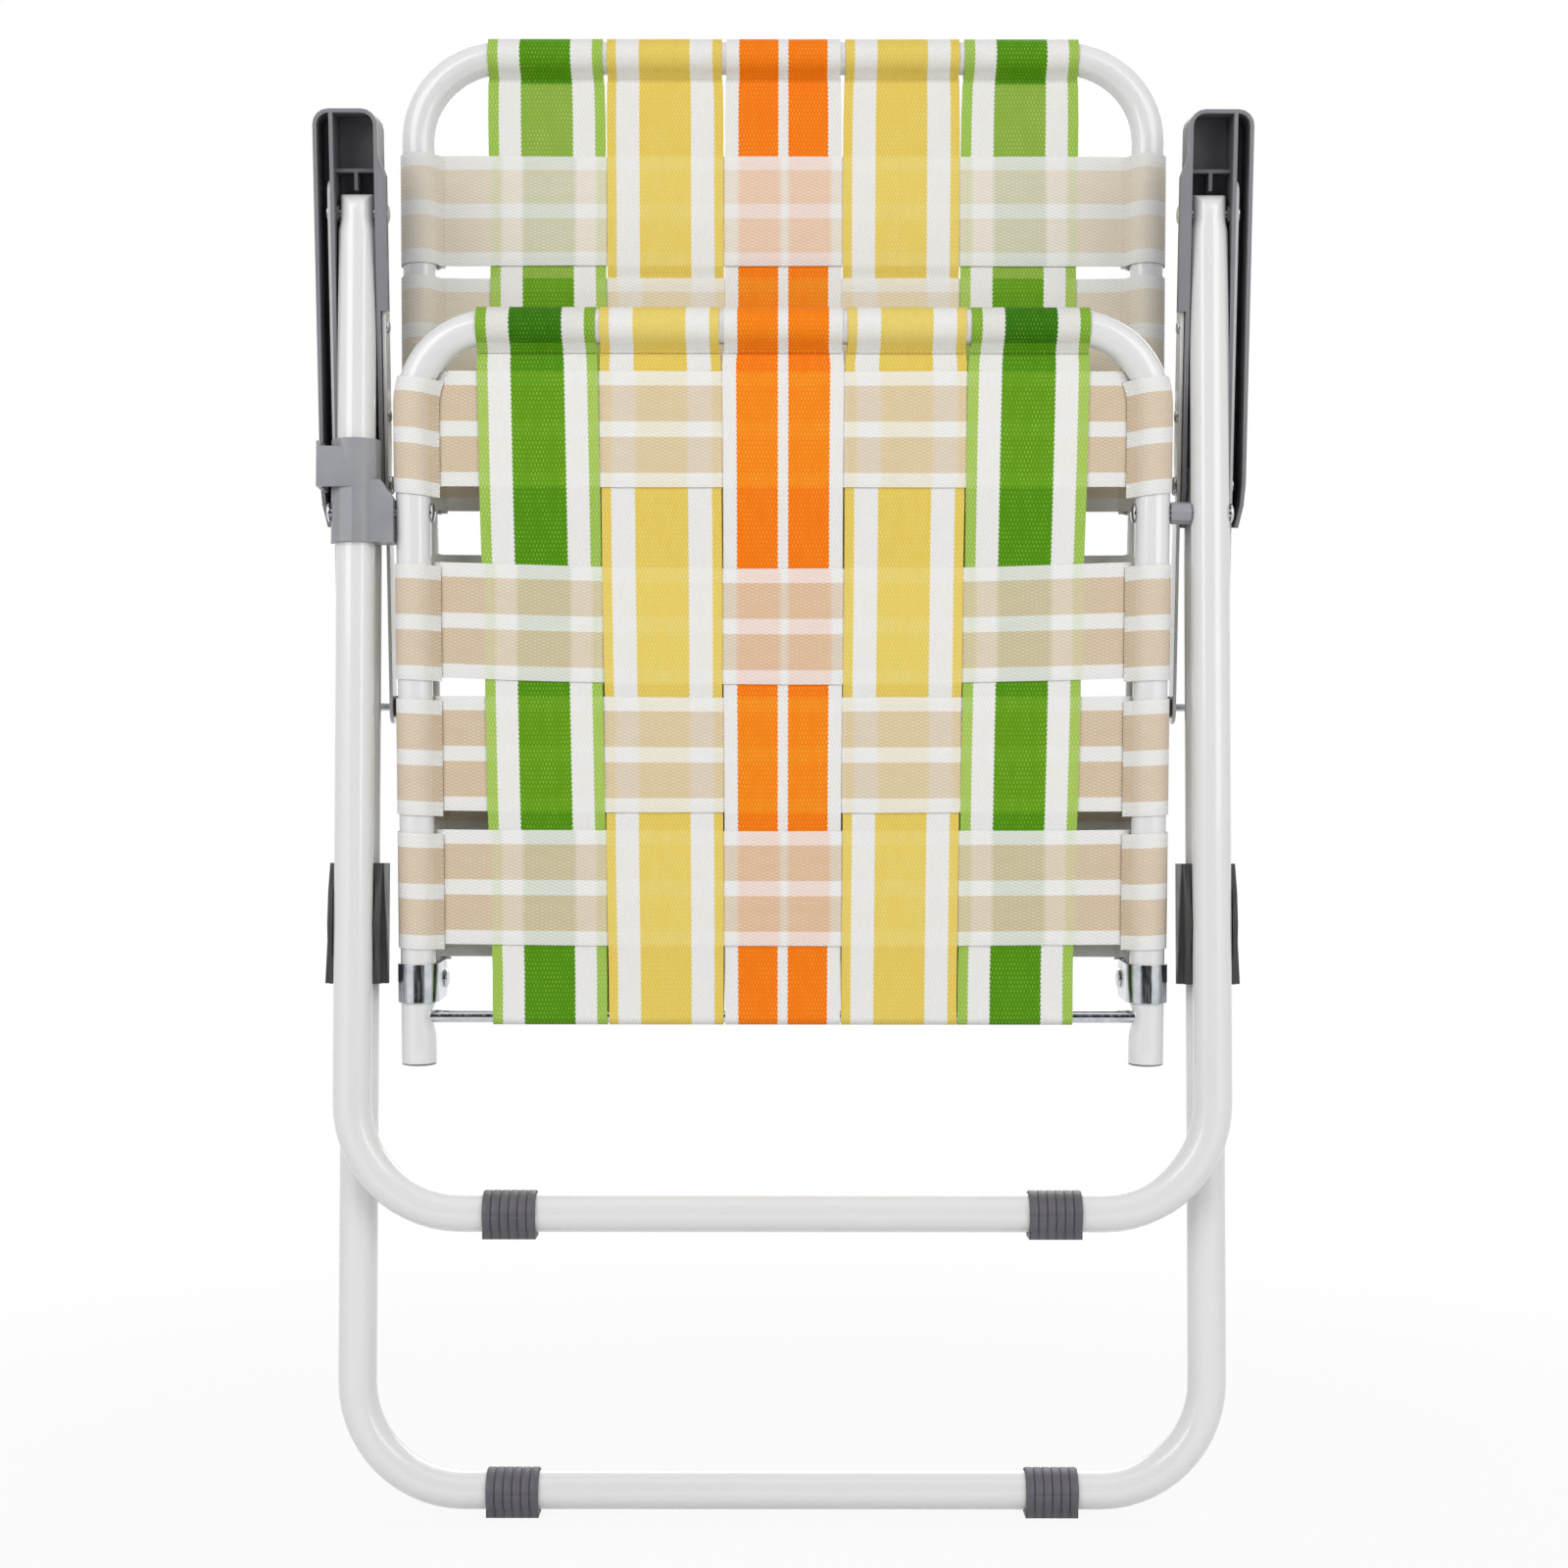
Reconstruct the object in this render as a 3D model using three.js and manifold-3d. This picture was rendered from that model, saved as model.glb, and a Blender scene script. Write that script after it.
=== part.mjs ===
// Folding webbed lawn chair, folded flat and standing on its rear feet.
// Four bent tubes (front legs, rear legs, seat and back) are linked by two arms and carry woven straps.
// Millimetres. X is to the right and Z up in the folded chair, and -Y is the side that shows the seat's
// underside. The origin lies on the floor, under the middle of the folded chair.

import * as THREE from "three";
import { mergeVertices } from "three/addons/utils/BufferGeometryUtils.js";
import Module from "manifold-3d";

const wasm = await Module();
wasm.setup();

// Clearances
const FIT = 0.3; // between pieces that touch
const SLIDE = 0.5; // between a leg and the armrest channel that it folds into
const LINK_PLAY = 2.5; // of the back tube on the rear arm rivets

// Tubes
const LEG_DIAMETER = 22;
const SEAT_DIAMETER = 20;
const TUBE_WALL = 1.2;
const LEG_BEND = 62; // corner radius of the leg tubes, on their axis
const SEAT_BEND = 46;
const BACK_BEND = 50;
const PINCH_WIDTH = 19.4; // width of a leg where it is flattened for its arm pivot
const PINCH_LENGTH = 4.2;
const PINCH_BLEND = 7;

// Tube axes beyond the edge of the webbing, and the gap between the seat tubes and the legs
const SEAT_SIDE_REAR = 34.7;
const SEAT_SIDE_FRONT = 38.2;
const BACK_SIDE_TOP = 44.2;
const PIVOT_GAP = 12;

// Lengths between the tubes' pivots and rails
const REAR_LEG_LENGTH = 579; // rear rail to arm pivot
const FRONT_LEG_LENGTH = 398; // front rail to seat pivot
const FRONT_LEG_RISE = 172; // seat pivot to arm pivot
const LEG_STACK = 24.3; // between the axes of a folded front leg and rear leg
const LEG_TILT = THREE.MathUtils.degToRad(3); // of the folded legs against the seat
const STAND_LEAN = THREE.MathUtils.degToRad(2.3); // of the folded seat, to balance on the rear soles
const REAR_PIVOT_RISE = 18; // rear leg pivot above the seat pivot
const HINGE_DEPTH = 26; // hinge behind the seat tubes
const HINGE_TO_ROD = 19.5;
const HINGE_TO_SEAT_END = 46;

// Rivets
const RIVET_RADIUS = 3;
const LINK_RIVET_RADIUS = 2.5;
const HEAD_RADIUS = 5.6;
const HEAD_HEIGHT = 2.2;

// Arms
const BAR_WIDTH = 16;
const BAR_THICKNESS = 2;
const BAR_LEAD = 19; // bar beyond its front pivot
const BAR_TAIL = 10; // bar beyond its rear pivot
const ARMREST_LEAD = 57.5; // armrest beyond the front pivot
const ARMREST_TAIL = 24; // armrest beyond the rear leg pivot
const ARMREST_DEPTH = 28;
const ARMREST_FLOOR = 3;
const ARMREST_WALL = 2.2;
const ARMREST_OVERHANG = 7; // hollow flange outside the channel
const ARMREST_CORNER = 9;
const ARMREST_TAPER = 26; // length over which the flange narrows at the rear end
const ARMREST_NARROW = 3.9;
const ARMREST_ROUND = 2.5; // rounding of the hand side
const POCKET_LENGTH = 76; // pocket on the inner wall, round the end of the inner bar
const POCKET_WALL = 1.6;
const POCKET_LIP = 3;
const POCKET_DEPTH = 8;
const POCKET_SLOPE = 14;
const RIB_THICKNESS = 2;
const RIB_SETBACK = 8; // ribs behind the channel's rim
const FRONT_RIB = 23; // front rib beyond the front pivot
const REAR_RIB = 34; // rear rib ahead of the rear leg pivot
const BOSS_RADIUS = 5.2;
const BUSH_RADIUS = 6.5;

// Feet, plugs, clamps and cradles
const FOOT_LENGTH = 30;
const FOOT_OFFSET = 154; // foot from the middle of its rail
const FOOT_WALL = 1.2;
const FOOT_RIBS = 6;
const RIB_HEIGHT = 0.9;
const SOLE_DROP = 14; // sole below the rail's axis
const SOLE_WIDTH = 19;
const PLUG_FLANGE = 1.4;
const PLUG_STEM = 12;
const CLAMP_SHEET = 1.5;
const CLAMP_HEIGHT = 22;
const CLAMP_TAIL = 9; // clamp ears beyond the hinge
const CLAMP_CHAMFER = 5;
const ROD_RADIUS = 3.6;
const CRADLE_LENGTH = 69;
const CRADLE_DROP = 254; // middle of the cradle below the rear leg pivot
const CRADLE_WALL = 3;
const CRADLE_FLANGE = 3.4;
const CRADLE_PLATE = 5;
const CRADLE_REACH = 2; // cradle walls in front of the front leg's axis
const CRADLE_ARCH = 9; // cradle walls lower at their ends
const CRADLE_DRAFT = 3; // plate narrower at its top, on each side

// Fold clip on the left front leg
const CLIP_BOTTOM = 18; // below the seat pivot
const CLIP_TOP = 41; // above the seat pivot
const CLIP_SHOULDER = 12; // top of the spacer block above the seat pivot
const CLIP_WALL = 2.6;
const CLIP_BLOCK = 16.5; // depth of the spacer block
const CLIP_FLARE = 11; // height over which the block flares out to the spacer face
const HOOK_HEIGHT = 26;
const HOOK_PLATE = 2.4;
const HOOK_NOTCH = 3;

// Webbing
const CROSS_WIDTH = 66;
const LONG_WIDTH = 67.6;
const LONG_GAP = 2.4; // between neighbouring long straps
const LONG_STRAPS = 5;
const STRAP_THICKNESS = 1;
const WEAVE_GAP = 0.5; // between straps where they cross
const STRAP_END_GAP = 2; // strap ends from the hinge axis

// Room along the seat: above the hinge, between cross straps, below and above the pivot, below the rail
const SEAT_ROW_FOOT = 22;
const SEAT_ROW_GAP = 10.5;
const SEAT_ROW_BELOW = 28;
const SEAT_ROW_ABOVE = 15;
const SEAT_ROW_FRONT = 25;

// Room along the back: above the hinge, between the two low cross straps, below and above the arm pivot,
// above the middle cross strap, between the three upper ones and below the top rail
const BACK_ROW_FOOT = 12.5;
const BACK_ROW_LOW_GAP = 5;
const BACK_ROW_BELOW = 9.5;
const BACK_ROW_ABOVE = 24;
const BACK_ROW_MIDDLE_GAP = 26;
const BACK_ROW_UPPER_GAP = 7.5;
const BACK_ROW_TOP = 60;

// Facets
const SIDES = 12;
const LOOP_SIDES = 10;
const RIVET_SIDES = 8;
const BEND_STEPS = 5;

// Lengths and widths that the webbing needs
const longPitch = LONG_WIDTH + LONG_GAP;
const webHalf = (LONG_STRAPS * longPitch - LONG_GAP) / 2;
const weave = (STRAP_THICKNESS + WEAVE_GAP) / 2;
const pivotToHinge = SEAT_ROW_FOOT + 3 * CROSS_WIDTH + 2 * SEAT_ROW_GAP + SEAT_ROW_BELOW;
const pivotToFront = SEAT_ROW_ABOVE + CROSS_WIDTH + SEAT_ROW_FRONT;
const hingeToArm = BACK_ROW_FOOT + 2 * CROSS_WIDTH + BACK_ROW_LOW_GAP + BACK_ROW_BELOW;
const upperFoot = hingeToArm + BACK_ROW_ABOVE + CROSS_WIDTH + BACK_ROW_MIDDLE_GAP;
const backHeight = upperFoot + 3 * CROSS_WIDTH + 2 * BACK_ROW_UPPER_GAP + BACK_ROW_TOP;
const seatRearHalf = webHalf + SEAT_SIDE_REAR;
const seatFrontHalf = webHalf + SEAT_SIDE_FRONT;
const backTopHalf = webHalf + BACK_SIDE_TOP;

// Derived places in the folded chair, as (Y, Z) with Y = 0 on the seat tubes
const legRadius = LEG_DIAMETER / 2;
const seatRadius = SEAT_DIAMETER / 2;
const legUp = new THREE.Vector2(Math.sin(LEG_TILT), Math.cos(LEG_TILT));
const rearPivotZ = SOLE_DROP + REAR_LEG_LENGTH * Math.cos(LEG_TILT);
const seatPivot = new THREE.Vector2(0, rearPivotZ - REAR_PIVOT_RISE);
const armPivot = seatPivot.clone().addScaledVector(legUp, FRONT_LEG_RISE);
const rearPivot = new THREE.Vector2(
  REAR_PIVOT_RISE * Math.tan(LEG_TILT) + LEG_STACK / Math.cos(LEG_TILT),
  rearPivotZ,
);
const hinge = new THREE.Vector2(HINGE_DEPTH, seatPivot.y - pivotToHinge);
const armDown = rearPivot.clone().sub(armPivot).normalize();
const armTilt = Math.atan2(armDown.x, -armDown.y);
const armToRearPivot = armPivot.distanceTo(rearPivot);
const armLength = reachAlong(armPivot, armDown, hinge, hingeToArm);
const backPivot = armPivot.clone().addScaledVector(armDown, armLength);
const backTilt = Math.atan2(backPivot.x - hinge.x, backPivot.y - hinge.y);
const rod = new THREE.Vector2(0, hinge.y - HINGE_TO_ROD);
const seatEndZ = hinge.y - HINGE_TO_SEAT_END;
const seatFrontZ = seatPivot.y + pivotToFront;
const channelHalf = legRadius + SLIDE;
const barInner = channelHalf + ARMREST_WALL + FIT;
const barOuter = barInner + BAR_THICKNESS;
const sleeveBore = around(legRadius + FIT, SIDES); // of a piece that slides over a leg
const clipOuter = sleeveBore + CLIP_WALL;

// The radius at which a polygon with this many sides clears a circle
function around(radius, sides) {
  return radius / Math.cos(Math.PI / sides);
}

// How far along a line from a point the first place at a given distance from a centre lies
function reachAlong(from, direction, centre, distance) {
  const offset = from.clone().sub(centre);
  const along = offset.dot(direction);
  return -along - Math.sqrt(along * along - offset.lengthSq() + distance * distance);
}

// Half the distance between the seat tubes, and between the back tubes, along their length
const seatHalf = (z) =>
  THREE.MathUtils.mapLinear(z, seatEndZ, seatFrontZ, seatRearHalf, seatFrontHalf);
const hingeHalf = seatHalf(hinge.y);
const backHalf = (z) => THREE.MathUtils.mapLinear(z, 0, backHeight, hingeHalf, backTopHalf);
const pivotSeatHalf = seatHalf(seatPivot.y);
const legHalf = pivotSeatHalf + seatRadius + PIVOT_GAP + legRadius;

// How far a bent tube's axis comes in from its straight line, at a distance from its rail
function bendInset(drop, bend) {
  const past = Math.max(0, bend - drop);
  return bend - Math.sqrt(bend * bend - past * past);
}

// The inner and outer edge of a seat or back tube at a distance from its rail, with the flats of its bend
function tubeEdges(half, drop, bend) {
  const lean = Math.asin(Math.max(0, bend - drop) / bend);
  const flats = lean > 0 ? bend * (1 - Math.cos(Math.PI / (4 * BEND_STEPS))) : 0;
  const axis = half - bendInset(drop, bend);
  const wide = seatRadius / Math.cos(lean);
  return { inner: axis - wide - flats, outer: axis + wide };
}

// Solids: closed geometries are joined and cut as manifolds
function toSolid(geometry) {
  const bare = geometry.clone();
  bare.deleteAttribute("normal");
  bare.deleteAttribute("uv");
  const merged = mergeVertices(bare, 1e-4);
  return new wasm.Manifold(
    new wasm.Mesh({
      numProp: 3,
      vertProperties: merged.attributes.position.array,
      triVerts: new Uint32Array(merged.index.array),
    }),
  );
}

function toGeometry(solid) {
  const mesh = solid.getMesh();
  const geometry = new THREE.BufferGeometry();
  geometry.setAttribute("position", new THREE.BufferAttribute(mesh.vertProperties, 3));
  geometry.setIndex(new THREE.BufferAttribute(mesh.triVerts, 1));
  geometry.computeVertexNormals();
  return geometry;
}

const join = (first, ...rest) =>
  toGeometry(rest.reduce((solid, g) => solid.add(toSolid(g)), toSolid(first)));
const cut = (first, ...tools) =>
  toGeometry(tools.reduce((solid, g) => solid.subtract(toSolid(g)), toSolid(first)));

function box(x0, x1, y0, y1, z0, z1) {
  const geometry = new THREE.BoxGeometry(x1 - x0, y1 - y0, z1 - z0);
  return geometry.translate((x0 + x1) / 2, (y0 + y1) / 2, (z0 + z1) / 2);
}

// A round bar along X
function barX(radius, x0, x1, y, z, sides = RIVET_SIDES) {
  const geometry = new THREE.CylinderGeometry(radius, radius, x1 - x0, sides);
  return geometry.rotateZ(Math.PI / 2).translate((x0 + x1) / 2, y, z);
}

// A round bar along Z
function barZ(radius, x, y, z0, z1, sides = SIDES) {
  const geometry = new THREE.CylinderGeometry(radius, radius, z1 - z0, sides);
  return geometry.rotateX(Math.PI / 2).translate(x, y, (z0 + z1) / 2);
}

// A section in (X, Y) drawn out along Z
function prismZ(shape, z0, z1, curveSegments = 8) {
  const options = { depth: z1 - z0, bevelEnabled: false, curveSegments };
  return new THREE.ExtrudeGeometry(shape, options).translate(0, 0, z0);
}

// A section in (Y, Z) drawn out along X
function prismX(shape, x0, x1, curveSegments = 8) {
  const geometry = prismZ(shape, 0, x1 - x0, curveSegments);
  geometry.rotateX(Math.PI / 2).rotateZ(Math.PI / 2);
  return geometry.translate(x0, 0, 0);
}

// A turned piece along X, from a profile of [radius, x] pairs that starts and ends on the axis or closes
function turnedX(profile, sides = RIVET_SIDES) {
  const points = profile.map(([r, x]) => new THREE.Vector2(r, x));
  return new THREE.LatheGeometry(points, sides).rotateZ(-Math.PI / 2);
}

// A ring along X
const ringX = (inner, outer, x0, x1, sides = SIDES) =>
  turnedX([[inner, x0], [outer, x0], [outer, x1], [inner, x1], [inner, x0]], sides);

// A rivet along X whose domed heads seat at x0 and x1
function rivet(x0, x1, y, z, radius = RIVET_RADIUS) {
  const crown = HEAD_RADIUS * 0.6;
  const profile = [
    [0, x0 - HEAD_HEIGHT],
    [crown, x0 - HEAD_HEIGHT],
    [HEAD_RADIUS, x0],
    [radius, x0],
    [radius, x1],
    [HEAD_RADIUS, x1],
    [crown, x1 + HEAD_HEIGHT],
    [0, x1 + HEAD_HEIGHT],
  ];
  return turnedX(profile).translate(0, y, z);
}

// A path through stations, each a point with its tangent, that is sampled at the stations alone
class StationPath extends THREE.Curve {
  constructor(stations) {
    super();
    this.stations = stations;
  }

  getUtoTmapping(u) {
    return u;
  }

  getPoint(t, target = new THREE.Vector3()) {
    const last = this.stations.length - 1;
    const i = Math.min(Math.floor(t * last), last - 1);
    return target.lerpVectors(this.stations[i].point, this.stations[i + 1].point, t * last - i);
  }

  getTangent(t, target = new THREE.Vector3()) {
    const last = this.stations.length - 1;
    return target.copy(this.stations[Math.round(t * last)].tangent);
  }
}

// The stations of a U in the XZ plane: up or down one side, round two corners and back to the other end.
// stops are distances from the ends at which the straight sides get stations of their own.
function uStations(endHalf, railHalf, endZ, railZ, bend, stops = []) {
  const corners = [
    new THREE.Vector3(-endHalf, 0, endZ),
    new THREE.Vector3(-railHalf, 0, railZ),
    new THREE.Vector3(railHalf, 0, railZ),
    new THREE.Vector3(endHalf, 0, endZ),
  ];
  const run = corners.slice(1).map((c, i) => c.clone().sub(corners[i]).normalize());
  const stations = [{ point: corners[0], tangent: run[0] }];
  const along = (from, direction, distance) => from.clone().addScaledVector(direction, distance);
  for (const stop of stops) {
    stations.push({ point: along(corners[0], run[0], stop), tangent: run[0] });
  }
  for (const i of [1, 2]) {
    const turn = run[i - 1].angleTo(run[i]);
    const start = along(corners[i], run[i - 1], -bend * Math.tan(turn / 2));
    const axis = run[i - 1].clone().cross(run[i]).normalize();
    const centre = along(start, axis.clone().cross(run[i - 1]), bend);
    for (let k = 0; k <= BEND_STEPS; k++) {
      const spin = new THREE.Quaternion().setFromAxisAngle(axis, (turn * k) / BEND_STEPS);
      const point = start.clone().sub(centre).applyQuaternion(spin).add(centre);
      stations.push({ point, tangent: run[i - 1].clone().applyQuaternion(spin) });
    }
  }
  for (const stop of [...stops].reverse()) {
    stations.push({ point: along(corners[3], run[2], -stop), tangent: run[2] });
  }
  stations.push({ point: corners[3], tangent: run[2] });
  return stations;
}

// A bent tube with its bore
function tube(stations, radius) {
  const section = new THREE.Shape().absarc(0, 0, radius, 0, Math.PI * 2);
  section.holes.push(new THREE.Path().absarc(0, 0, radius - TUBE_WALL, 0, Math.PI * 2));
  return new THREE.ExtrudeGeometry(section, {
    steps: stations.length - 1,
    extrudePath: new StationPath(stations),
    curveSegments: SIDES / 2,
  });
}

// A tool that rounds a tube's end about the pivot at (y, z) on the side that sign points to
function roundedEnd(radius, sign, z, x0, x1) {
  const reach = 3 * radius;
  const block = box(x0, x1, -reach, reach, Math.min(z, z + sign * reach), Math.max(z, z + sign * reach));
  return cut(block, barX(radius, x0 - 1, x1 + 1, 0, z, 2 * SIDES));
}

// Leg tubes stand on their rail, with their arm pivot at height top above the local origin
function legTube(top, rail, holes) {
  const end = top + legRadius;
  const stops = [PINCH_LENGTH / 2, PINCH_LENGTH, PINCH_LENGTH + PINCH_BLEND].map((s) => s + legRadius);
  const geometry = tube(uStations(legHalf, legHalf, end, rail, LEG_BEND, stops), legRadius);
  const position = geometry.attributes.position;
  const pinched = (end - legRadius) - PINCH_LENGTH;
  for (let i = 0; i < position.count; i++) {
    const x = position.getX(i);
    const flat = THREE.MathUtils.smoothstep(position.getZ(i), pinched - PINCH_BLEND, pinched);
    const width = THREE.MathUtils.lerp(1, PINCH_WIDTH / LEG_DIAMETER, flat);
    const axis = Math.sign(x) * legHalf;
    if (flat > 0) position.setX(i, axis + (x - axis) * width);
  }
  const reach = legHalf + LEG_DIAMETER;
  const hole = around(RIVET_RADIUS + FIT, RIVET_SIDES);
  const bores = holes.map((z) => barX(hole, -reach, reach, 0, z));
  return cut(geometry, roundedEnd(legRadius, 1, top, -reach, reach), ...bores);
}

// A ribbed sleeve on a rail, with a flat sole at z = -SOLE_DROP
function foot() {
  const bore = sleeveBore;
  const skin = bore + FOOT_WALL;
  const half = FOOT_LENGTH / 2;
  const pitch = FOOT_LENGTH / FOOT_RIBS;
  const profile = [[bore, -half], [skin, -half]];
  for (let i = 0; i < FOOT_RIBS; i++) {
    const x = -half + pitch * (i + 0.5);
    profile.push([skin + RIB_HEIGHT, x - pitch * 0.25]);
    profile.push([skin, x + pitch * 0.25]);
  }
  profile.push([skin, half], [bore, half], [bore, -half]);
  const sole = box(-half, half, -SOLE_WIDTH / 2, SOLE_WIDTH / 2, -SOLE_DROP, 0);
  const under = box(-FOOT_LENGTH, FOOT_LENGTH, -LEG_DIAMETER, LEG_DIAMETER, -2 * SOLE_DROP, -SOLE_DROP);
  return cut(join(turnedX(profile, SIDES), sole), barX(bore, -half - 1, half + 1, 0, 0, SIDES), under);
}

// A flat bar with round ends, from z0 to z1, drilled at the given heights
function flatBar(z0, z1, drilled) {
  const half = BAR_WIDTH / 2;
  const outline = new THREE.Shape();
  outline.absarc(0, z1 - half, half, 0, Math.PI);
  outline.absarc(0, z0 + half, half, Math.PI, 2 * Math.PI);
  for (const [z, radius] of drilled) {
    outline.holes.push(new THREE.Path().absarc(0, z, around(radius + FIT, RIVET_SIDES), 0, Math.PI * 2));
  }
  return prismX(outline, 0, BAR_THICKNESS, RIVET_SIDES / 2);
}

// The armrest's outline seen from its channel side: x outward from the leg's axis, z along the arm
function armrestOutline(inset) {
  const inner = -channelHalf - ARMREST_WALL + inset;
  const outer = channelHalf + 2 * ARMREST_WALL + ARMREST_OVERHANG - inset;
  const front = ARMREST_LEAD - inset;
  const rear = -armToRearPivot - ARMREST_TAIL;
  const r = ARMREST_CORNER - inset;
  const outline = new THREE.Shape();
  outline.moveTo(inner, rear);
  outline.lineTo(outer - ARMREST_NARROW, rear);
  outline.quadraticCurveTo(outer, rear + ARMREST_TAPER / 2, outer, rear + ARMREST_TAPER);
  outline.absarc(outer - r, front - r, r, 0, Math.PI / 2);
  outline.absarc(inner + r, front - r, r, Math.PI / 2, Math.PI);
  outline.closePath();
  return outline;
}

// A plate in the armrest's outline, between two depths
function armrestPlate(inset, y0, y1) {
  return prismZ(armrestOutline(inset), 0, y1 - y0, 2).rotateX(Math.PI / 2).translate(0, y1, 0);
}

// The armrest: a floor under the hand, walls on both sides of the leg channel and a hollow outer flange
function armrest() {
  const floor = legRadius + 2;
  const back = floor + ARMREST_FLOOR;
  const rim = back - ARMREST_DEPTH;
  const rear = -armToRearPivot - ARMREST_TAIL;
  const front = ARMREST_LEAD - ARMREST_WALL;
  const wall = channelHalf + ARMREST_WALL;
  const flange = wall + ARMREST_OVERHANG;
  const inside = armrestPlate(ARMREST_WALL, rim - 1, floor);
  const partition = box(channelHalf, wall, rim - 2, floor + 1, rear - 1, ARMREST_LEAD);
  const openEnd = box(-channelHalf, channelHalf, rim - 1, floor, rear - 1, rear + ARMREST_TAPER);
  const flangeEnd = box(wall, flange - ARMREST_NARROW, rim - 1, floor, rear - 1, rear + ARMREST_TAPER);
  const hollow = join(cut(inside, partition), openEnd, flangeEnd);
  const handSide = armrestPlate(ARMREST_ROUND, back - ARMREST_ROUND, back);
  const shell = join(armrestPlate(0, rim, back - ARMREST_ROUND), handSide);
  const ribFront = rim + RIB_SETBACK;
  const centreRib = box(
    -RIB_THICKNESS / 2, RIB_THICKNESS / 2, ribFront, back - 1, legRadius + 2, FRONT_RIB);
  const crossRibs = [FRONT_RIB, REAR_RIB - armToRearPivot].map((z) =>
    box(-wall + 1, wall - 1, ribFront, back - 1, z, z + RIB_THICKNESS));
  const pinchHalf = PINCH_WIDTH / 2 + FIT;
  const bosses = [0, -armToRearPivot].flatMap((z) => [
    barX(BOSS_RADIUS, -wall + 1, -pinchHalf, 0, z),
    barX(BOSS_RADIUS, pinchHalf, wall - 1, 0, z),
  ]);
  const barRoom = barOuter + FIT;
  const pocketTop = BAR_LEAD + POCKET_WALL;
  const pocketEnd = pocketTop - POCKET_LENGTH;
  const pocketOutline = new THREE.Shape([
    [-wall + 1, pocketTop + POCKET_SLOPE], [-barRoom - POCKET_WALL, pocketTop],
    [-barRoom - POCKET_WALL, pocketEnd], [-wall + 1, pocketEnd],
  ].map(([x, z]) => new THREE.Vector2(x, z)));
  const pocket = cut(
    prismZ(pocketOutline, 0, POCKET_DEPTH).rotateX(Math.PI / 2).translate(0, rim + POCKET_DEPTH, 0),
    box(-barRoom, -wall, rim + POCKET_LIP, back, pocketEnd - 1, BAR_LEAD + FIT),
    barX(HEAD_RADIUS + 2 * FIT, -barRoom - POCKET_WALL - 1, -barRoom + 0.5, 0, 0));
  const hole = around(RIVET_RADIUS + FIT, RIVET_SIDES);
  const holes = [0, -armToRearPivot].map((z) => barX(hole, -flange, flange - 1, 0, z));
  return cut(join(cut(shell, hollow), centreRib, ...crossRibs, ...bosses, pocket), ...holes);
}

// A cradle on a rear leg (at the origin) that the folded front leg lies in
function cradle() {
  const half = CRADLE_LENGTH / 2;
  const nest = legRadius + 2 * FIT;
  const side = nest + CRADLE_WALL;
  const lip = -LEG_STACK - CRADLE_REACH;
  const body = box(-side, side, lip, side, -half, half);
  const plateBack = -LEG_STACK / 2 + CRADLE_PLATE;
  const low = side + CRADLE_FLANGE;
  const high = low - CRADLE_DRAFT;
  const outline = new THREE.Shape([[-low, -half], [low, -half], [high, half], [-high, half]].map(
    ([x, z]) => new THREE.Vector2(x, z)));
  const plate = prismZ(outline, 0, CRADLE_PLATE).rotateX(Math.PI / 2).translate(0, plateBack, 0);
  const arch = new THREE.Shape();
  arch.moveTo(lip - CRADLE_ARCH, -half - 1);
  arch.lineTo(lip + CRADLE_ARCH, -half - 1);
  arch.quadraticCurveTo(lip - CRADLE_ARCH, 0, lip + CRADLE_ARCH, half + 1);
  arch.lineTo(lip - CRADLE_ARCH, half + 1);
  return cut(
    join(body, plate),
    barZ(sleeveBore, 0, 0, -half - 1, half + 1),
    barZ(around(nest, SIDES), 0, -LEG_STACK, -half - 1, half + 1),
    box(-nest, nest, lip - CRADLE_ARCH, -LEG_STACK, -half - 1, half + 1),
    prismX(arch, -side - 1, side + 1, 4),
  );
}

// A sheet clamp round a seat tube (at the origin), with ears on both sides of the back tube
function hingeClamp() {
  const inner = seatRadius + FIT;
  const outer = inner + CLAMP_SHEET;
  const tail = HINGE_DEPTH + CLAMP_TAIL;
  const section = new THREE.Shape();
  section.moveTo(outer, 0).lineTo(outer, tail).lineTo(inner, tail).lineTo(inner, 0);
  section.absarc(0, 0, around(inner, SIDES), 0, Math.PI, true);
  section.lineTo(-inner, tail).lineTo(-outer, tail).lineTo(-outer, 0);
  section.absarc(0, 0, outer, Math.PI, 2 * Math.PI, false);
  const half = CLAMP_HEIGHT / 2;
  const corner = (sign) => {
    const chamfer = new THREE.Shape();
    chamfer.moveTo(tail - CLAMP_CHAMFER, sign * (half + 1));
    chamfer.lineTo(tail + 1, sign * (half + 1));
    chamfer.lineTo(tail + 1, sign * (half - CLAMP_CHAMFER));
    return prismX(chamfer, -outer - 1, outer + 1);
  };
  const bore = barX(around(RIVET_RADIUS + FIT, RIVET_SIDES), -outer - 1, outer + 1, HINGE_DEPTH, 0);
  return cut(prismZ(section, -half, half, SIDES / 4), corner(1), corner(-1), bore);
}

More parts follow.
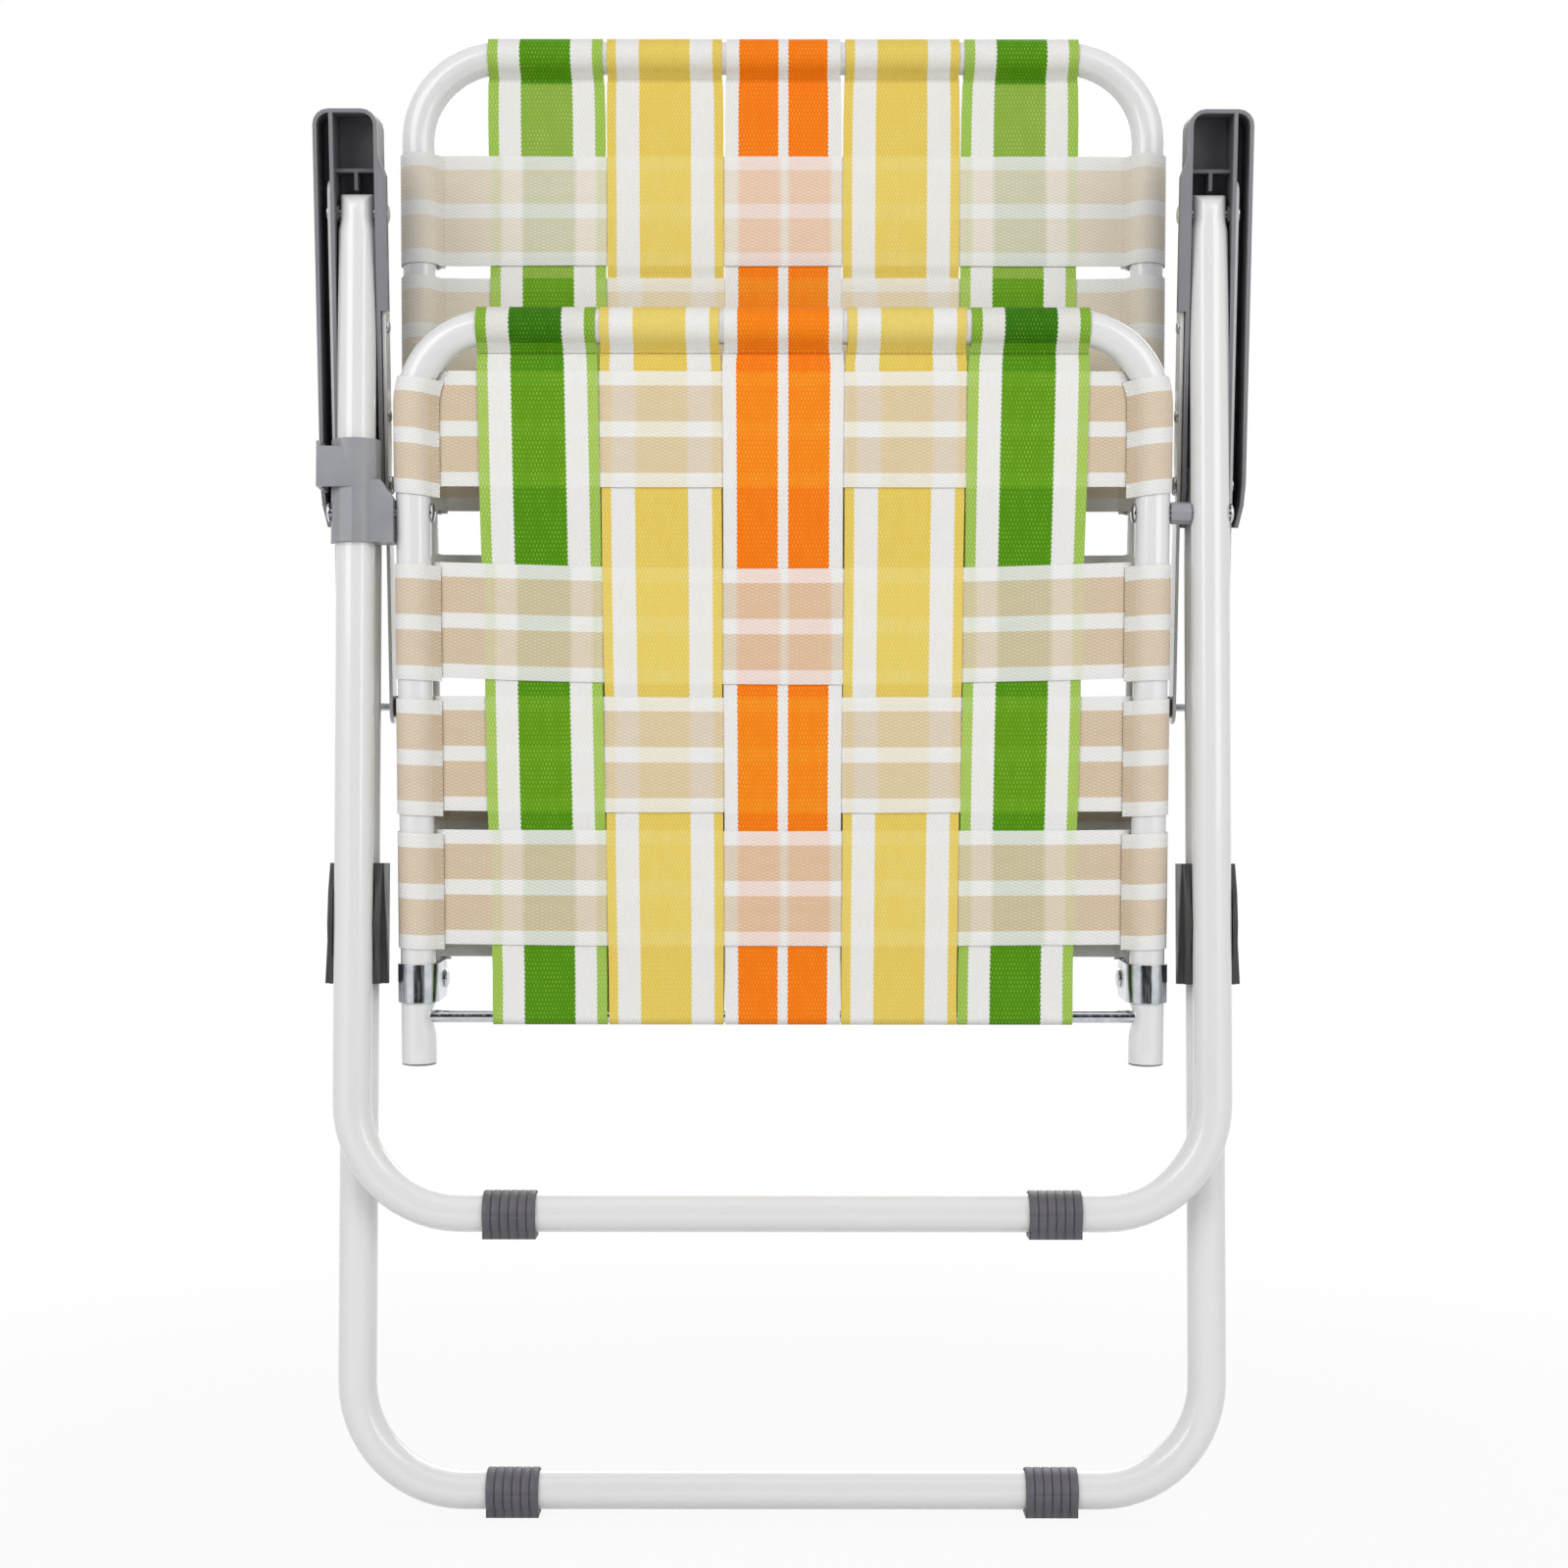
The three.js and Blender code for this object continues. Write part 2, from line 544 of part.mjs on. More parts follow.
// The fold clip: a shell on the front of the left leg, the spacer to the seat tube and a hook pocket
// that reaches into the armrest's flange. The leg's axis is the origin and the seat lies towards +X.
function foldClip(spacerLength) {
  const bore = sleeveBore;
  const outer = clipOuter;
  const inward = legRadius + FIT + spacerLength;
  const shell = barZ(outer, 0, 0, -CLIP_BOTTOM, CLIP_TOP, SIDES);
  const shoulder = outer + 1;
  const flareFoot = CLIP_SHOULDER - CLIP_FLARE / 2;
  const outline = new THREE.Shape([
    [0, -CLIP_BOTTOM], [inward, -CLIP_BOTTOM], [inward, flareFoot], [shoulder, flareFoot + CLIP_FLARE],
    [0, flareFoot + CLIP_FLARE],
  ].map(([x, z]) => new THREE.Vector2(x, z)));
  const blockBack = CLIP_BLOCK - outer + 4;
  const block = prismZ(outline, 0, CLIP_BLOCK).rotateX(Math.PI / 2).translate(0, blockBack, 0);
  const hookOuter = channelHalf + ARMREST_WALL + ARMREST_OVERHANG - FIT;
  const hookFront = -outer;
  const hookBack = legRadius;
  const hookZ = CLIP_TOP - HOOK_HEIGHT - 2;
  const front = box(-hookOuter, 0, hookFront, hookFront + HOOK_PLATE, hookZ, hookZ + HOOK_HEIGHT);
  const side = box(-hookOuter, -hookOuter + HOOK_PLATE, hookFront, hookBack, hookZ, hookZ + HOOK_HEIGHT);
  const hookTop = hookZ + HOOK_HEIGHT;
  const notch = box(-hookOuter + HOOK_PLATE, -legRadius / 2, -2 * outer, 0, hookTop - HOOK_NOTCH, hookTop + 1);
  const rear = box(-outer - 2, outer + 2, FIT, 2 * outer, CLIP_SHOULDER + 1, CLIP_TOP + 1);
  const rearLow = box(-outer - 2, legRadius, FIT, 2 * outer, -CLIP_BOTTOM - 1, CLIP_SHOULDER + 2);
  return cut(
    join(cut(shell, rear, rearLow), block, cut(front, notch), side),
    barZ(bore, 0, 0, -CLIP_BOTTOM - 1, CLIP_TOP + 1),
    barX(around(RIVET_RADIUS + FIT, RIVET_SIDES), -2 * outer, inward + 1, 0, 0),
  );
}

// A strap's section: a line of points given half a strap's thickness on each side
function ribbon(points) {
  const half = STRAP_THICKNESS / 2;
  const normals = points.map((p, i) => {
    const a = points[Math.max(i - 1, 0)];
    const b = points[Math.min(i + 1, points.length - 1)];
    const direction = b.clone().sub(a).normalize();
    return new THREE.Vector2(-direction.y, direction.x);
  });
  const left = points.map((p, i) => p.clone().addScaledVector(normals[i], half));
  const right = points.map((p, i) => p.clone().addScaledVector(normals[i], -half));
  return new THREE.Shape([...left, ...right.reverse()]);
}

// A strap's sewn loop round a tube, drawn out along x by slack
function loopSection(centre, radius, slack) {
  const stadium = (Kind, r) => {
    const path = new Kind();
    path.absarc(centre.x + slack / 2, centre.y, r, -Math.PI / 2, Math.PI / 2);
    path.absarc(centre.x - slack / 2, centre.y, r, Math.PI / 2, (3 * Math.PI) / 2);
    path.closePath();
    return path;
  };
  const inner = around(radius + FIT, LOOP_SIDES);
  const section = stadium(THREE.Shape, inner + STRAP_THICKNESS);
  section.holes.push(stadium(THREE.Path, inner));
  return section;
}

const longStrapX = (i) => (i - (LONG_STRAPS - 1) / 2) * longPitch;

// Offsets of a strap that passes over and under a series of crossings, as points along its length
function weavePoints(crossings) {
  const points = [];
  for (const { at, half, offset } of crossings) {
    points.push(new THREE.Vector2(at - half, offset), new THREE.Vector2(at + half, offset));
  }
  return points;
}

// A cross strap between the two sides of a tapered frame, whose tubes' edges edgesAt gives at a height
function crossStrap(z, row, edgesAt) {
  const edges = [z - CROSS_WIDTH / 2, z, z + CROSS_WIDTH / 2].map(edgesAt);
  const outer = Math.max(...edges.map((e) => e.outer));
  const inner = Math.min(...edges.map((e) => e.inner));
  const slack = outer - inner - SEAT_DIAMETER;
  const edge = LONG_WIDTH / 2 + LONG_GAP / 10;
  const crossings = [];
  for (let i = 0; i < LONG_STRAPS; i++) {
    const offset = (i + row) % 2 === 0 ? -weave : weave;
    crossings.push({ at: longStrapX(i), half: edge, offset });
  }
  const reach = inner - FIT - STRAP_THICKNESS / 2;
  const points = [new THREE.Vector2(-reach, 0), ...weavePoints(crossings), new THREE.Vector2(reach, 0)];
  const band = prismZ(ribbon(points), z - CROSS_WIDTH / 2, z + CROSS_WIDTH / 2);
  const loops = [-1, 1].map((sign) => {
    const centre = new THREE.Vector2((sign * (outer + inner)) / 2, 0);
    const section = loopSection(centre, seatRadius, slack);
    return prismZ(section, z - CROSS_WIDTH / 2, z + CROSS_WIDTH / 2, LOOP_SIDES / 4);
  });
  return join(band, ...loops);
}

// A long strap: a loop round a rail, then down over and under the rows to the tail points. The outer straps
// reach a little way into the rail's bends, where their loops are wider.
function longStrap(column, rail, rows, tail) {
  const edge = CROSS_WIDTH / 2 + STRAP_THICKNESS;
  const crossings = rows.map((z, row) => {
    const offset = (column + row + rail.first) % 2 === 0 ? weave : -weave;
    return { at: -z, half: edge, offset };
  });
  const woven = weavePoints(crossings).map((p) => new THREE.Vector2(p.y, -p.x));
  const x = longStrapX(column);
  const x0 = x - LONG_WIDTH / 2;
  const x1 = x + LONG_WIDTH / 2;
  const outerEdge = Math.max(-x0, x1);
  const radius = seatRadius + 2 * bendInset(rail.half - outerEdge, rail.bend);
  const start = new THREE.Vector2(0, rail.z - radius - FIT - STRAP_THICKNESS / 2);
  const band = prismX(ribbon([start, ...woven, ...tail]), x0, x1);
  const loop = loopSection(new THREE.Vector2(0, rail.z), radius, 0);
  return join(band, prismX(loop, x0, x1, LOOP_SIDES / 4));
}

// Finishes
const finish = (color, roughness, metalness) => () =>
  new THREE.MeshStandardMaterial({ color, roughness, metalness });
const whitePaint = finish(0xe9e9e7, 0.25, 0);
const slatePlastic = finish(0x55565c, 0.55, 0);
const clipPlastic = finish(0x9b9ca0, 0.45, 0);
const footPlastic = finish(0x5f5c62, 0.6, 0);
const darkPlastic = finish(0x4a484b, 0.6, 0);
const zinc = finish(0xb9bcc0, 0.25, 1);
const beigeStrap = finish(0xdec5a5, 0.85, 0);
const longColours = [0x4f9a24, 0xe1cd5f, 0xee871e, 0xe1cd5f, 0x4f9a24];

const chair = new THREE.Group();

function place(parent, name, geometry, material) {
  const mesh = new THREE.Mesh(geometry, material());
  mesh.name = name;
  parent.add(mesh);
  return mesh;
}

// A group whose local origin lies at (y, z) in the folded chair, leaning back by tilt
function carrier(at, tilt) {
  const group = new THREE.Group();
  group.position.set(0, at.x, at.y);
  group.rotation.x = -tilt;
  chair.add(group);
  return group;
}

// The sides of the chair: right is +X
const SIDE = { left: -1, right: 1 };
const sides = Object.keys(SIDE);

// Front legs, with the seat pivot at the local origin
const frontLegs = carrier(seatPivot, LEG_TILT);
place(frontLegs, "front_leg_tube", legTube(FRONT_LEG_RISE, -FRONT_LEG_LENGTH, [FRONT_LEG_RISE, 0]), whitePaint);
const spacerLength = legHalf - legRadius - pivotSeatHalf - seatRadius - 2 * FIT;
for (const side of sides) {
  const frontFoot = place(frontLegs, `front_foot_${side}`, foot(), footPlastic);
  frontFoot.position.set(SIDE[side] * FOOT_OFFSET, 0, -FRONT_LEG_LENGTH);
  const inside = pivotSeatHalf - seatRadius - FIT;
  const outside = legHalf + FIT + (side === "left" ? clipOuter : legRadius);
  const pin = place(frontLegs, `seat_pivot_rivet_${side}`, rivet(inside, outside, 0, 0), zinc);
  pin.scale.x = SIDE[side];
}
const spacerStart = pivotSeatHalf + seatRadius + FIT;
const spacer = ringX(
  around(RIVET_RADIUS + FIT, RIVET_SIDES), BUSH_RADIUS, spacerStart, spacerStart + spacerLength, RIVET_SIDES);
place(frontLegs, "seat_pivot_spacer", spacer, clipPlastic);
const clip = place(frontLegs, "fold_clip", foldClip(spacerLength), clipPlastic);
clip.position.x = -legHalf;

// Rear legs, with the arm pivot at the local origin
const rearLegs = carrier(rearPivot, LEG_TILT);
place(rearLegs, "rear_leg_tube", legTube(0, -REAR_LEG_LENGTH, [0]), whitePaint);
for (const side of sides) {
  const rearFoot = place(rearLegs, `rear_foot_${side}`, foot(), footPlastic);
  rearFoot.position.set(SIDE[side] * FOOT_OFFSET, 0, -REAR_LEG_LENGTH);
  rearFoot.rotation.x = LEG_TILT - STAND_LEAN; // its sole is level
  const nest = place(rearLegs, `leg_cradle_${side}`, cradle(), darkPlastic);
  nest.position.set(SIDE[side] * legHalf, 0, -CRADLE_DROP);
}

// Arms, with the front pivot at the local origin and the bars along -Z
const arms = carrier(armPivot, -armTilt);
const barHoles = [
  [0, RIVET_RADIUS],
  [-armToRearPivot, RIVET_RADIUS],
  [-armLength, LINK_RIVET_RADIUS],
];
const linkHalf = backHalf(hingeToArm);
for (const side of sides) {
  const arm = new THREE.Group();
  arm.scale.x = SIDE[side];
  arms.add(arm);
  const barInside = legHalf - barOuter;
  const barOutside = legHalf + barOuter;
  place(arm, `armrest_${side}`, armrest(), slatePlastic).position.x = legHalf;
  const bar = flatBar(-armLength - BAR_TAIL, BAR_LEAD, barHoles);
  place(arm, `arm_bar_inner_${side}`, bar, whitePaint).position.x = barInside;
  place(arm, `arm_bar_outer_${side}`, bar, whitePaint).position.x = legHalf + barInner;
  const gripped = [barInside - FIT, barOutside + FIT];
  place(arm, `front_arm_rivet_${side}`, rivet(...gripped, 0, 0), zinc);
  place(arm, `middle_arm_rivet_${side}`, rivet(...gripped, 0, -armToRearPivot), zinc);
  const link = rivet(linkHalf - seatRadius - 2 * FIT, barOutside + FIT, 0, -armLength, LINK_RIVET_RADIUS);
  place(arm, `rear_arm_rivet_${side}`, link, zinc);
  const bushHole = around(LINK_RIVET_RADIUS + FIT, RIVET_SIDES);
  const bush = ringX(bushHole, BUSH_RADIUS, linkHalf + seatRadius + 2 * FIT, barInside - FIT, RIVET_SIDES);
  place(arm, `rear_arm_bush_${side}`, bush, darkPlastic).position.z = -armLength;
}

// Seat, upright in the folded chair
const seat = carrier(new THREE.Vector2(0, 0), 0);
const seatReach = seatFrontHalf + SEAT_DIAMETER;
const rodReach = seatHalf(rod.y);
const pivotHole = around(RIVET_RADIUS + FIT, RIVET_SIDES);
const rodHole = around(ROD_RADIUS + FIT, SIDES);
const seatTube = cut(
  tube(uStations(seatRearHalf, seatFrontHalf, seatEndZ, seatFrontZ, SEAT_BEND), seatRadius),
  barX(pivotHole, -seatReach, seatReach, 0, seatPivot.y),
  barX(rodHole, -rodReach, rodReach, rod.x, rod.y, SIDES),
);
place(seat, "seat_tube", seatTube, whitePaint);
const rodLength = rodReach - FIT;
place(seat, "cross_rod", barX(ROD_RADIUS, -rodLength, rodLength, rod.x, rod.y, SIDES), zinc);
const plugRadius = seatRadius - TUBE_WALL - FIT;
const plugProfile = [
  [0, -PLUG_STEM],
  [plugRadius * Math.cos(Math.PI / SIDES), -PLUG_STEM],
  [plugRadius * Math.cos(Math.PI / SIDES), FIT],
  [seatRadius, FIT],
  [seatRadius, PLUG_FLANGE * 0.6],
  [seatRadius * 0.8, PLUG_FLANGE],
  [0, PLUG_FLANGE],
];
for (const side of sides) {
  const plug = place(seat, `seat_plug_${side}`, turnedX(plugProfile, SIDES), clipPlastic);
  plug.position.set(SIDE[side] * seatRearHalf, 0, seatEndZ);
  plug.rotation.y = Math.PI / 2;
  const clamp = place(seat, `hinge_clamp_${side}`, hingeClamp(), zinc);
  clamp.position.set(SIDE[side] * hingeHalf, 0, hinge.y);
  const ear = seatRadius + CLAMP_SHEET + 2 * FIT;
  const pin = place(seat, `hinge_rivet_${side}`, rivet(-ear, ear, 0, 0), zinc);
  pin.position.set(SIDE[side] * hingeHalf, hinge.x, hinge.y);
}

// Seat straps: one above the pivot, three spread evenly below it, and five along the seat
const seatRows = [seatPivot.y + SEAT_ROW_ABOVE + CROSS_WIDTH / 2];
for (let i = 0; i < 3; i++) {
  seatRows.push(hinge.y + SEAT_ROW_FOOT + CROSS_WIDTH / 2 + (2 - i) * (CROSS_WIDTH + SEAT_ROW_GAP));
}
const seatTubeAt = (z) => tubeEdges(seatHalf(z), seatFrontZ - z, SEAT_BEND);
seatRows.forEach((z, row) => {
  place(seat, `seat_cross_strap_${row + 1}`, crossStrap(z, row + 1, seatTubeAt), beigeStrap);
});

// Each seat strap ends round the rod and comes up to the hinge axis
const wrap = ROD_RADIUS + FIT + STRAP_THICKNESS / 2;
const toHinge = hinge.clone().sub(rod);
const leave = Math.atan2(toHinge.y, toHinge.x) - Math.acos(wrap / toHinge.length());
const rodTail = [new THREE.Vector2(0, seatRows[3] - CROSS_WIDTH / 2 - 2 * STRAP_THICKNESS)];
for (let k = 0; k <= BEND_STEPS + 2; k++) {
  const angle = THREE.MathUtils.lerp(-Math.PI, leave, k / (BEND_STEPS + 2));
  rodTail.push(new THREE.Vector2(rod.x + wrap * Math.cos(angle), rod.y + wrap * Math.sin(angle)));
}
const lastTurn = rodTail[rodTail.length - 1];
const intoHinge = hinge.clone().sub(lastTurn).normalize();
rodTail.push(hinge.clone().addScaledVector(intoHinge, -STRAP_END_GAP));
const frontRail = { z: seatFrontZ, half: seatFrontHalf, bend: SEAT_BEND, first: 1 };
for (let i = 0; i < LONG_STRAPS; i++) {
  const strap = longStrap(i, frontRail, seatRows, rodTail);
  place(seat, `seat_long_strap_${i + 1}`, strap, finish(longColours[i], 0.85, 0));
}

// Back, with the hinge at the local origin
const back = carrier(hinge, backTilt);
const backReach = backTopHalf + SEAT_DIAMETER;
const linkHole = around(LINK_RIVET_RADIUS + LINK_PLAY, SIDES);
const backTube = cut(
  tube(uStations(backHalf(-seatRadius), backTopHalf, -seatRadius, backHeight, BACK_BEND), seatRadius),
  roundedEnd(seatRadius, -1, 0, -backReach, backReach),
  barX(pivotHole, -backReach, backReach, 0, 0),
  barX(linkHole, -backReach, backReach, 0, hingeToArm, SIDES),
);
place(back, "back_tube", backTube, whitePaint);

// Back straps, from the top down: three, a gap, one above the arm pivot and two below it
const backRows = [];
for (let i = 0; i < 3; i++) {
  backRows.push(upperFoot + CROSS_WIDTH / 2 + (2 - i) * (CROSS_WIDTH + BACK_ROW_UPPER_GAP));
}
backRows.push(hingeToArm + BACK_ROW_ABOVE + CROSS_WIDTH / 2);
backRows.push(hingeToArm - BACK_ROW_BELOW - CROSS_WIDTH / 2);
backRows.push(BACK_ROW_FOOT + CROSS_WIDTH / 2);
const backTubeAt = (z) => tubeEdges(backHalf(z), backHeight - z, BACK_BEND);
backRows.forEach((z, row) => {
  place(back, `back_cross_strap_${row + 1}`, crossStrap(z, row, backTubeAt), beigeStrap);
});
const topRail = { z: backHeight, half: backTopHalf, bend: BACK_BEND, first: 0 };
for (let i = 0; i < LONG_STRAPS; i++) {
  const strap = longStrap(i, topRail, backRows, [new THREE.Vector2(0, STRAP_END_GAP)]);
  place(back, `back_long_strap_${i + 1}`, strap, finish(longColours[i], 0.85, 0));
}

// The folded chair leans to its balance, and the origin goes under its middle
chair.rotation.x = STAND_LEAN;
chair.updateMatrixWorld(true);
const bounds = new THREE.Box3().setFromObject(chair, true);
chair.position.set(0, -(bounds.min.y + bounds.max.y) / 2, -bounds.min.z);

export default chair;
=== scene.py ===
"""A folding webbed lawn chair, folded flat: bent white tubes, woven straps, moulded plastic and
plated metal. Pieces are drawn in millimetres, each in the place of its own body, and set on the
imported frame."""
import math
from types import SimpleNamespace

import bmesh
import bpy
from mathutils import Matrix, Vector
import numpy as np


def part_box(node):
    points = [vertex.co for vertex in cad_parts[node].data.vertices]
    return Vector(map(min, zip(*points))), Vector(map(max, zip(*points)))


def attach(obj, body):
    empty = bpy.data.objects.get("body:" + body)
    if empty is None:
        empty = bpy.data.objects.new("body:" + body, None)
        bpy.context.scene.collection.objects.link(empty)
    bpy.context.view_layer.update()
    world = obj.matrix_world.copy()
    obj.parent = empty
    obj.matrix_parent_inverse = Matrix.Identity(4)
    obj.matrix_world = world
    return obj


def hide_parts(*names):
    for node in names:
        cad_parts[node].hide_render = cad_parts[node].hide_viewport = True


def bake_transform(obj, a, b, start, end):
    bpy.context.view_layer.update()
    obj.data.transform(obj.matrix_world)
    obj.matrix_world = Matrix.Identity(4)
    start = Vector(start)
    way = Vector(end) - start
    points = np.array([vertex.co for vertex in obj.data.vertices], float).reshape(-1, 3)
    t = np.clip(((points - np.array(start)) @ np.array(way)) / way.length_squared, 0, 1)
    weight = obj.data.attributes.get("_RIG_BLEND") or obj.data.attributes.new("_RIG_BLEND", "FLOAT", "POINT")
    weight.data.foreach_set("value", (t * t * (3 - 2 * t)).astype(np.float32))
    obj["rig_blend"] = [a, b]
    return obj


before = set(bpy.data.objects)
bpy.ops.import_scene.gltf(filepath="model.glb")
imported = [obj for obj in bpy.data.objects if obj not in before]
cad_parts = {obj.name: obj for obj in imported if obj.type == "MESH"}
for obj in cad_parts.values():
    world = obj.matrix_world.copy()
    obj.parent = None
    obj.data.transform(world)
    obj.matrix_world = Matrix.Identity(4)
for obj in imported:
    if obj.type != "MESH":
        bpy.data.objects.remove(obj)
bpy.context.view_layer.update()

MM = 0.001
WHITE = (1.0, 1.0, 1.0, 1.0)
NEAR = 0.01

# Tubes
LEG_RADIUS = 11.0
SEAT_RADIUS = 10.0
TUBE_WALL = 1.2
TUBE_SIDES = 32
BEND_STEPS = 14
LEG_BEND = 62.0
SEAT_BEND = 46.0
BACK_BEND = 50.0
LEG_HALF = 244.119
FRONT_LEG_RISE = 172.0
FRONT_LEG_LENGTH = 398.0
REAR_LEG_LENGTH = 579.0

# Leg ends, rounded about the arm pivot and flattened a little there
PINCH_SHARE = 19.4 / 22.0
PINCH_LENGTH = 4.2
PINCH_BLEND = 7.0
PINCH_STEPS = 4
END_RING = 3.0
END_ROUND = 1.1
END_CORNER = 0.5

# Seat and back in the folded chair: heights above the floor, and along the back from its hinge
SEAT_END = 259.2065
SEAT_FRONT = 680.2065
SEAT_HALF_REAR = 208.5
SEAT_HALF_FRONT = 212.0
HINGE_Y = 26.0
HINGE_Z = 305.2065
ROD_Z = 285.7065
ROD_RADIUS = 3.6
BACK_HEIGHT = 548.0
BACK_HALF_TOP = 218.0
BACK_END_RING = 14.0
BACK_END_SLANT = 0.5

# The dents in the seat tube where the cross rod goes in
DENT_DEPTH = 2.6
DENT_SPREAD = 6.5
DENT_REACH = 20.0
DENT_RINGS = [8.0 + 2.5 * k for k in range(16)]

# Feet: the mouth as (radius, inset), and a rib's edge as (rise, half width)
FOOT_OFFSET = 154.0
FOOT_LENGTH = 30.0
FOOT_SKIN = 12.9
FOOT_OUTSIDE = 12.5
FOOT_CROWN = 0.91
FOOT_SIDES = 72
FOOT_MOUTH = [(11.5, 0.6), (12.1, 0.0), (FOOT_SKIN - 0.3, 0.0), (FOOT_SKIN, 0.15)]
RIBS = 6
RIB_EDGE = [(0.0, 2.3), (0.6, 2.15), (0.9, 1.85)]
MOULD_LINE_HALF = 0.3
MOULD_LINE_DEPTH = 0.7
SOLE_DROP = 14.0
SOLE_WIDTH = 19.0

# Rivets and armrests
HEAD_RADIUS = 5.6
HEAD_HEIGHT = 2.2
DOME_LIP = 0.2
DOME_ANGLES = (8, 25, 45, 65, 80, 90)
SHANK_RADIUS = 3.0
REAR_SHANK_RADIUS = 2.5
RIVET_SIDES = 28
BAR_FACE = 16.0
FIXING_RADIUS = 4.0
FIXING_HEIGHT = 1.6
FIXING_SINK = 2.0
FIXING_SIDES = 24
ARMREST_DEPTH = 28.0
ARMREST_RIM = -12.0

# Webbing
CROSS_WIDTH = 66.0
LONG_WIDTH = 69.2
LONG_PITCH = 70.0
STRAP = 0.8
STRAP_SKIN = 0.3
STRAP_COLUMNS = 12
WEAVE = 0.55
THREAD_WIDTH = 1.0
PICK_LENGTH = 2.55
COLUMNS = [(i - 2) * LONG_PITCH for i in range(5)]
SEAT_ROWS = [622.2065, 513.2065, 436.7065, 360.2065]
SEAT_SKEWS = [-6.5, -2.4, -3.0, -2.8]
SEAT_DROPS = [0.5, 4.0, 1.0, 1.0]
BACK_ROWS = [455.0, 381.5, 308.0, 216.0, 116.5, 45.5]
BACK_SKEW = -1.5
REACH = 200.0
GATHER_FRONT = 1.006
GATHER_ROD = 0.95
GATHER_TOP = 1.012
EDGE_SWAY = 0.3
SWAY_LENGTH = 27.0
SWAY_SHIFT = 0.7

# Sewn loops at the straps' ends
LOOP_RADIUS = SEAT_RADIUS + STRAP_SKIN + STRAP / 2
LOOP_STEPS = 22
LOOP_TAIL = 2.4
LOOP_LEAD = 5.0
SIDE_SEAM = 12.8
RAIL_SEAM = 12.7
TAIL_SIDE = 0.9
MAIN_SIDE = 0.2
LOOP_GATHER = 0.03
GATHER_START = 22.0
GATHER_END = 10.0
BEND_REST = 0.5

# Where a strap's plain run starts and ends, from the tube, rod or hinge next to it
SIDE_GAP = 10.5
SIDE_EDGE = 11.0
RAIL_GAP = 17.0
ROD_GAP = 8.0
ROD_STEPS = 12
HINGE_GAP = 9.0
HINGE_BEND = 7.0
HINGE_STEPS = 8
BLEND_SPAN = (12.5, 25.5)
CROSSING_INSET = 0.4
LIGHT_EDGE = 0.5

# Marks kept in a strap's attributes. Crossing: no other strap is near. Seam: on the plain run, on
# the top rail's loop and on any other loop, whose colour changes between the two ON_LOOP marks
UNCROSSED = 50.0
PLAIN_RUN = 20.0
TOP_LOOP = 21.0
ON_LOOP = (22.0, 28.0)
LOOP = 30.0

# Each body's place: its pivot as (y, z) with Y = 0 on the folded seat, and its lean
SEAT_PIVOT = (0.0, 574.2065)
REAR_LEG_PIVOT = (25.2767, 592.2065)
ARM_PIVOT = (9.0018, 745.9708)
LEG_TILT = math.radians(3.0)
ARM_TILT = math.radians(6.0419)
BACK_LEAN = math.radians(4.6464)
STAND_LEAN = math.radians(2.3)
STAND_SHIFT = (0.0, -3.2685 * MM, 0.213 * MM)
STAND = Matrix.Translation(STAND_SHIFT) @ Matrix.Rotation(STAND_LEAN, 4, "X")


def place(y, z, lean=0.0):
    """Millimetres in a body's own place to the chair as it stands"""
    spot = STAND @ Matrix.Translation((0.0, y * MM, z * MM))
    return spot @ Matrix.Rotation(-lean, 4, "X") @ Matrix.Scale(MM, 4)


FRONT_LEGS = place(*SEAT_PIVOT, LEG_TILT)
REAR_LEGS = place(*REAR_LEG_PIVOT, LEG_TILT)
ARMS = place(*ARM_PIVOT, -ARM_TILT)
SEAT = place(0.0, 0.0)
BACK = place(HINGE_Y, HINGE_Z, BACK_LEAN)
LEVEL_FOOT = Matrix.Rotation(LEG_TILT - STAND_LEAN, 4, "X")


# Finishes

def tone(red, green, blue):
    """A colour as it looks, in 0 to 255, made linear"""
    levels = [c / 255.0 for c in (red, green, blue)]
    linear = [c / 12.92 if c <= 0.04045 else ((c + 0.055) / 1.055) ** 2.4 for c in levels]
    return tuple(linear) + (1.0,)


class Nodes:
    """A node tree with short ways to add to it"""

    def __init__(self, tree):
        self.tree = tree

    def node(self, kind, inputs, out=0, **settings):
        made = self.tree.nodes.new(kind)
        for key, value in settings.items():
            setattr(made, key, value)
        for key, value in inputs.items():
            if isinstance(value, bpy.types.NodeSocket):
                self.tree.links.new(value, made.inputs[key])
            else:
                made.inputs[key].default_value = value
        return made.outputs[out]

    def calc(self, operation, first, second=0.0):
        return self.node("ShaderNodeMath", {0: first, 1: second}, operation=operation)

    def spread(self, value, low, high, new_low, new_high, kind="SMOOTHSTEP"):
        inputs = {"Value": value, "From Min": low, "From Max": high,
                  "To Min": new_low, "To Max": new_high}
        return self.node("ShaderNodeMapRange", inputs, interpolation_type=kind)

    def mix(self, share, first, second, kind="MIX"):
        inputs = {0: share, 6: first, 7: second}
        return self.node("ShaderNodeMix", inputs, 2, data_type="RGBA", blend_type=kind)

    def gamma(self, colour, power):
        return self.node("ShaderNodeGamma", {"Color": colour, "Gamma": power})

    def on_show(self):
        """1 where the camera or a reflection sees it, 0 where it only sends light on"""
        rays = self.tree.nodes.new("ShaderNodeLightPath").outputs
        seen = self.calc("MAXIMUM", rays["Is Camera Ray"], rays["Is Glossy Ray"])
        return self.calc("MAXIMUM", seen, rays["Is Transmission Ray"])


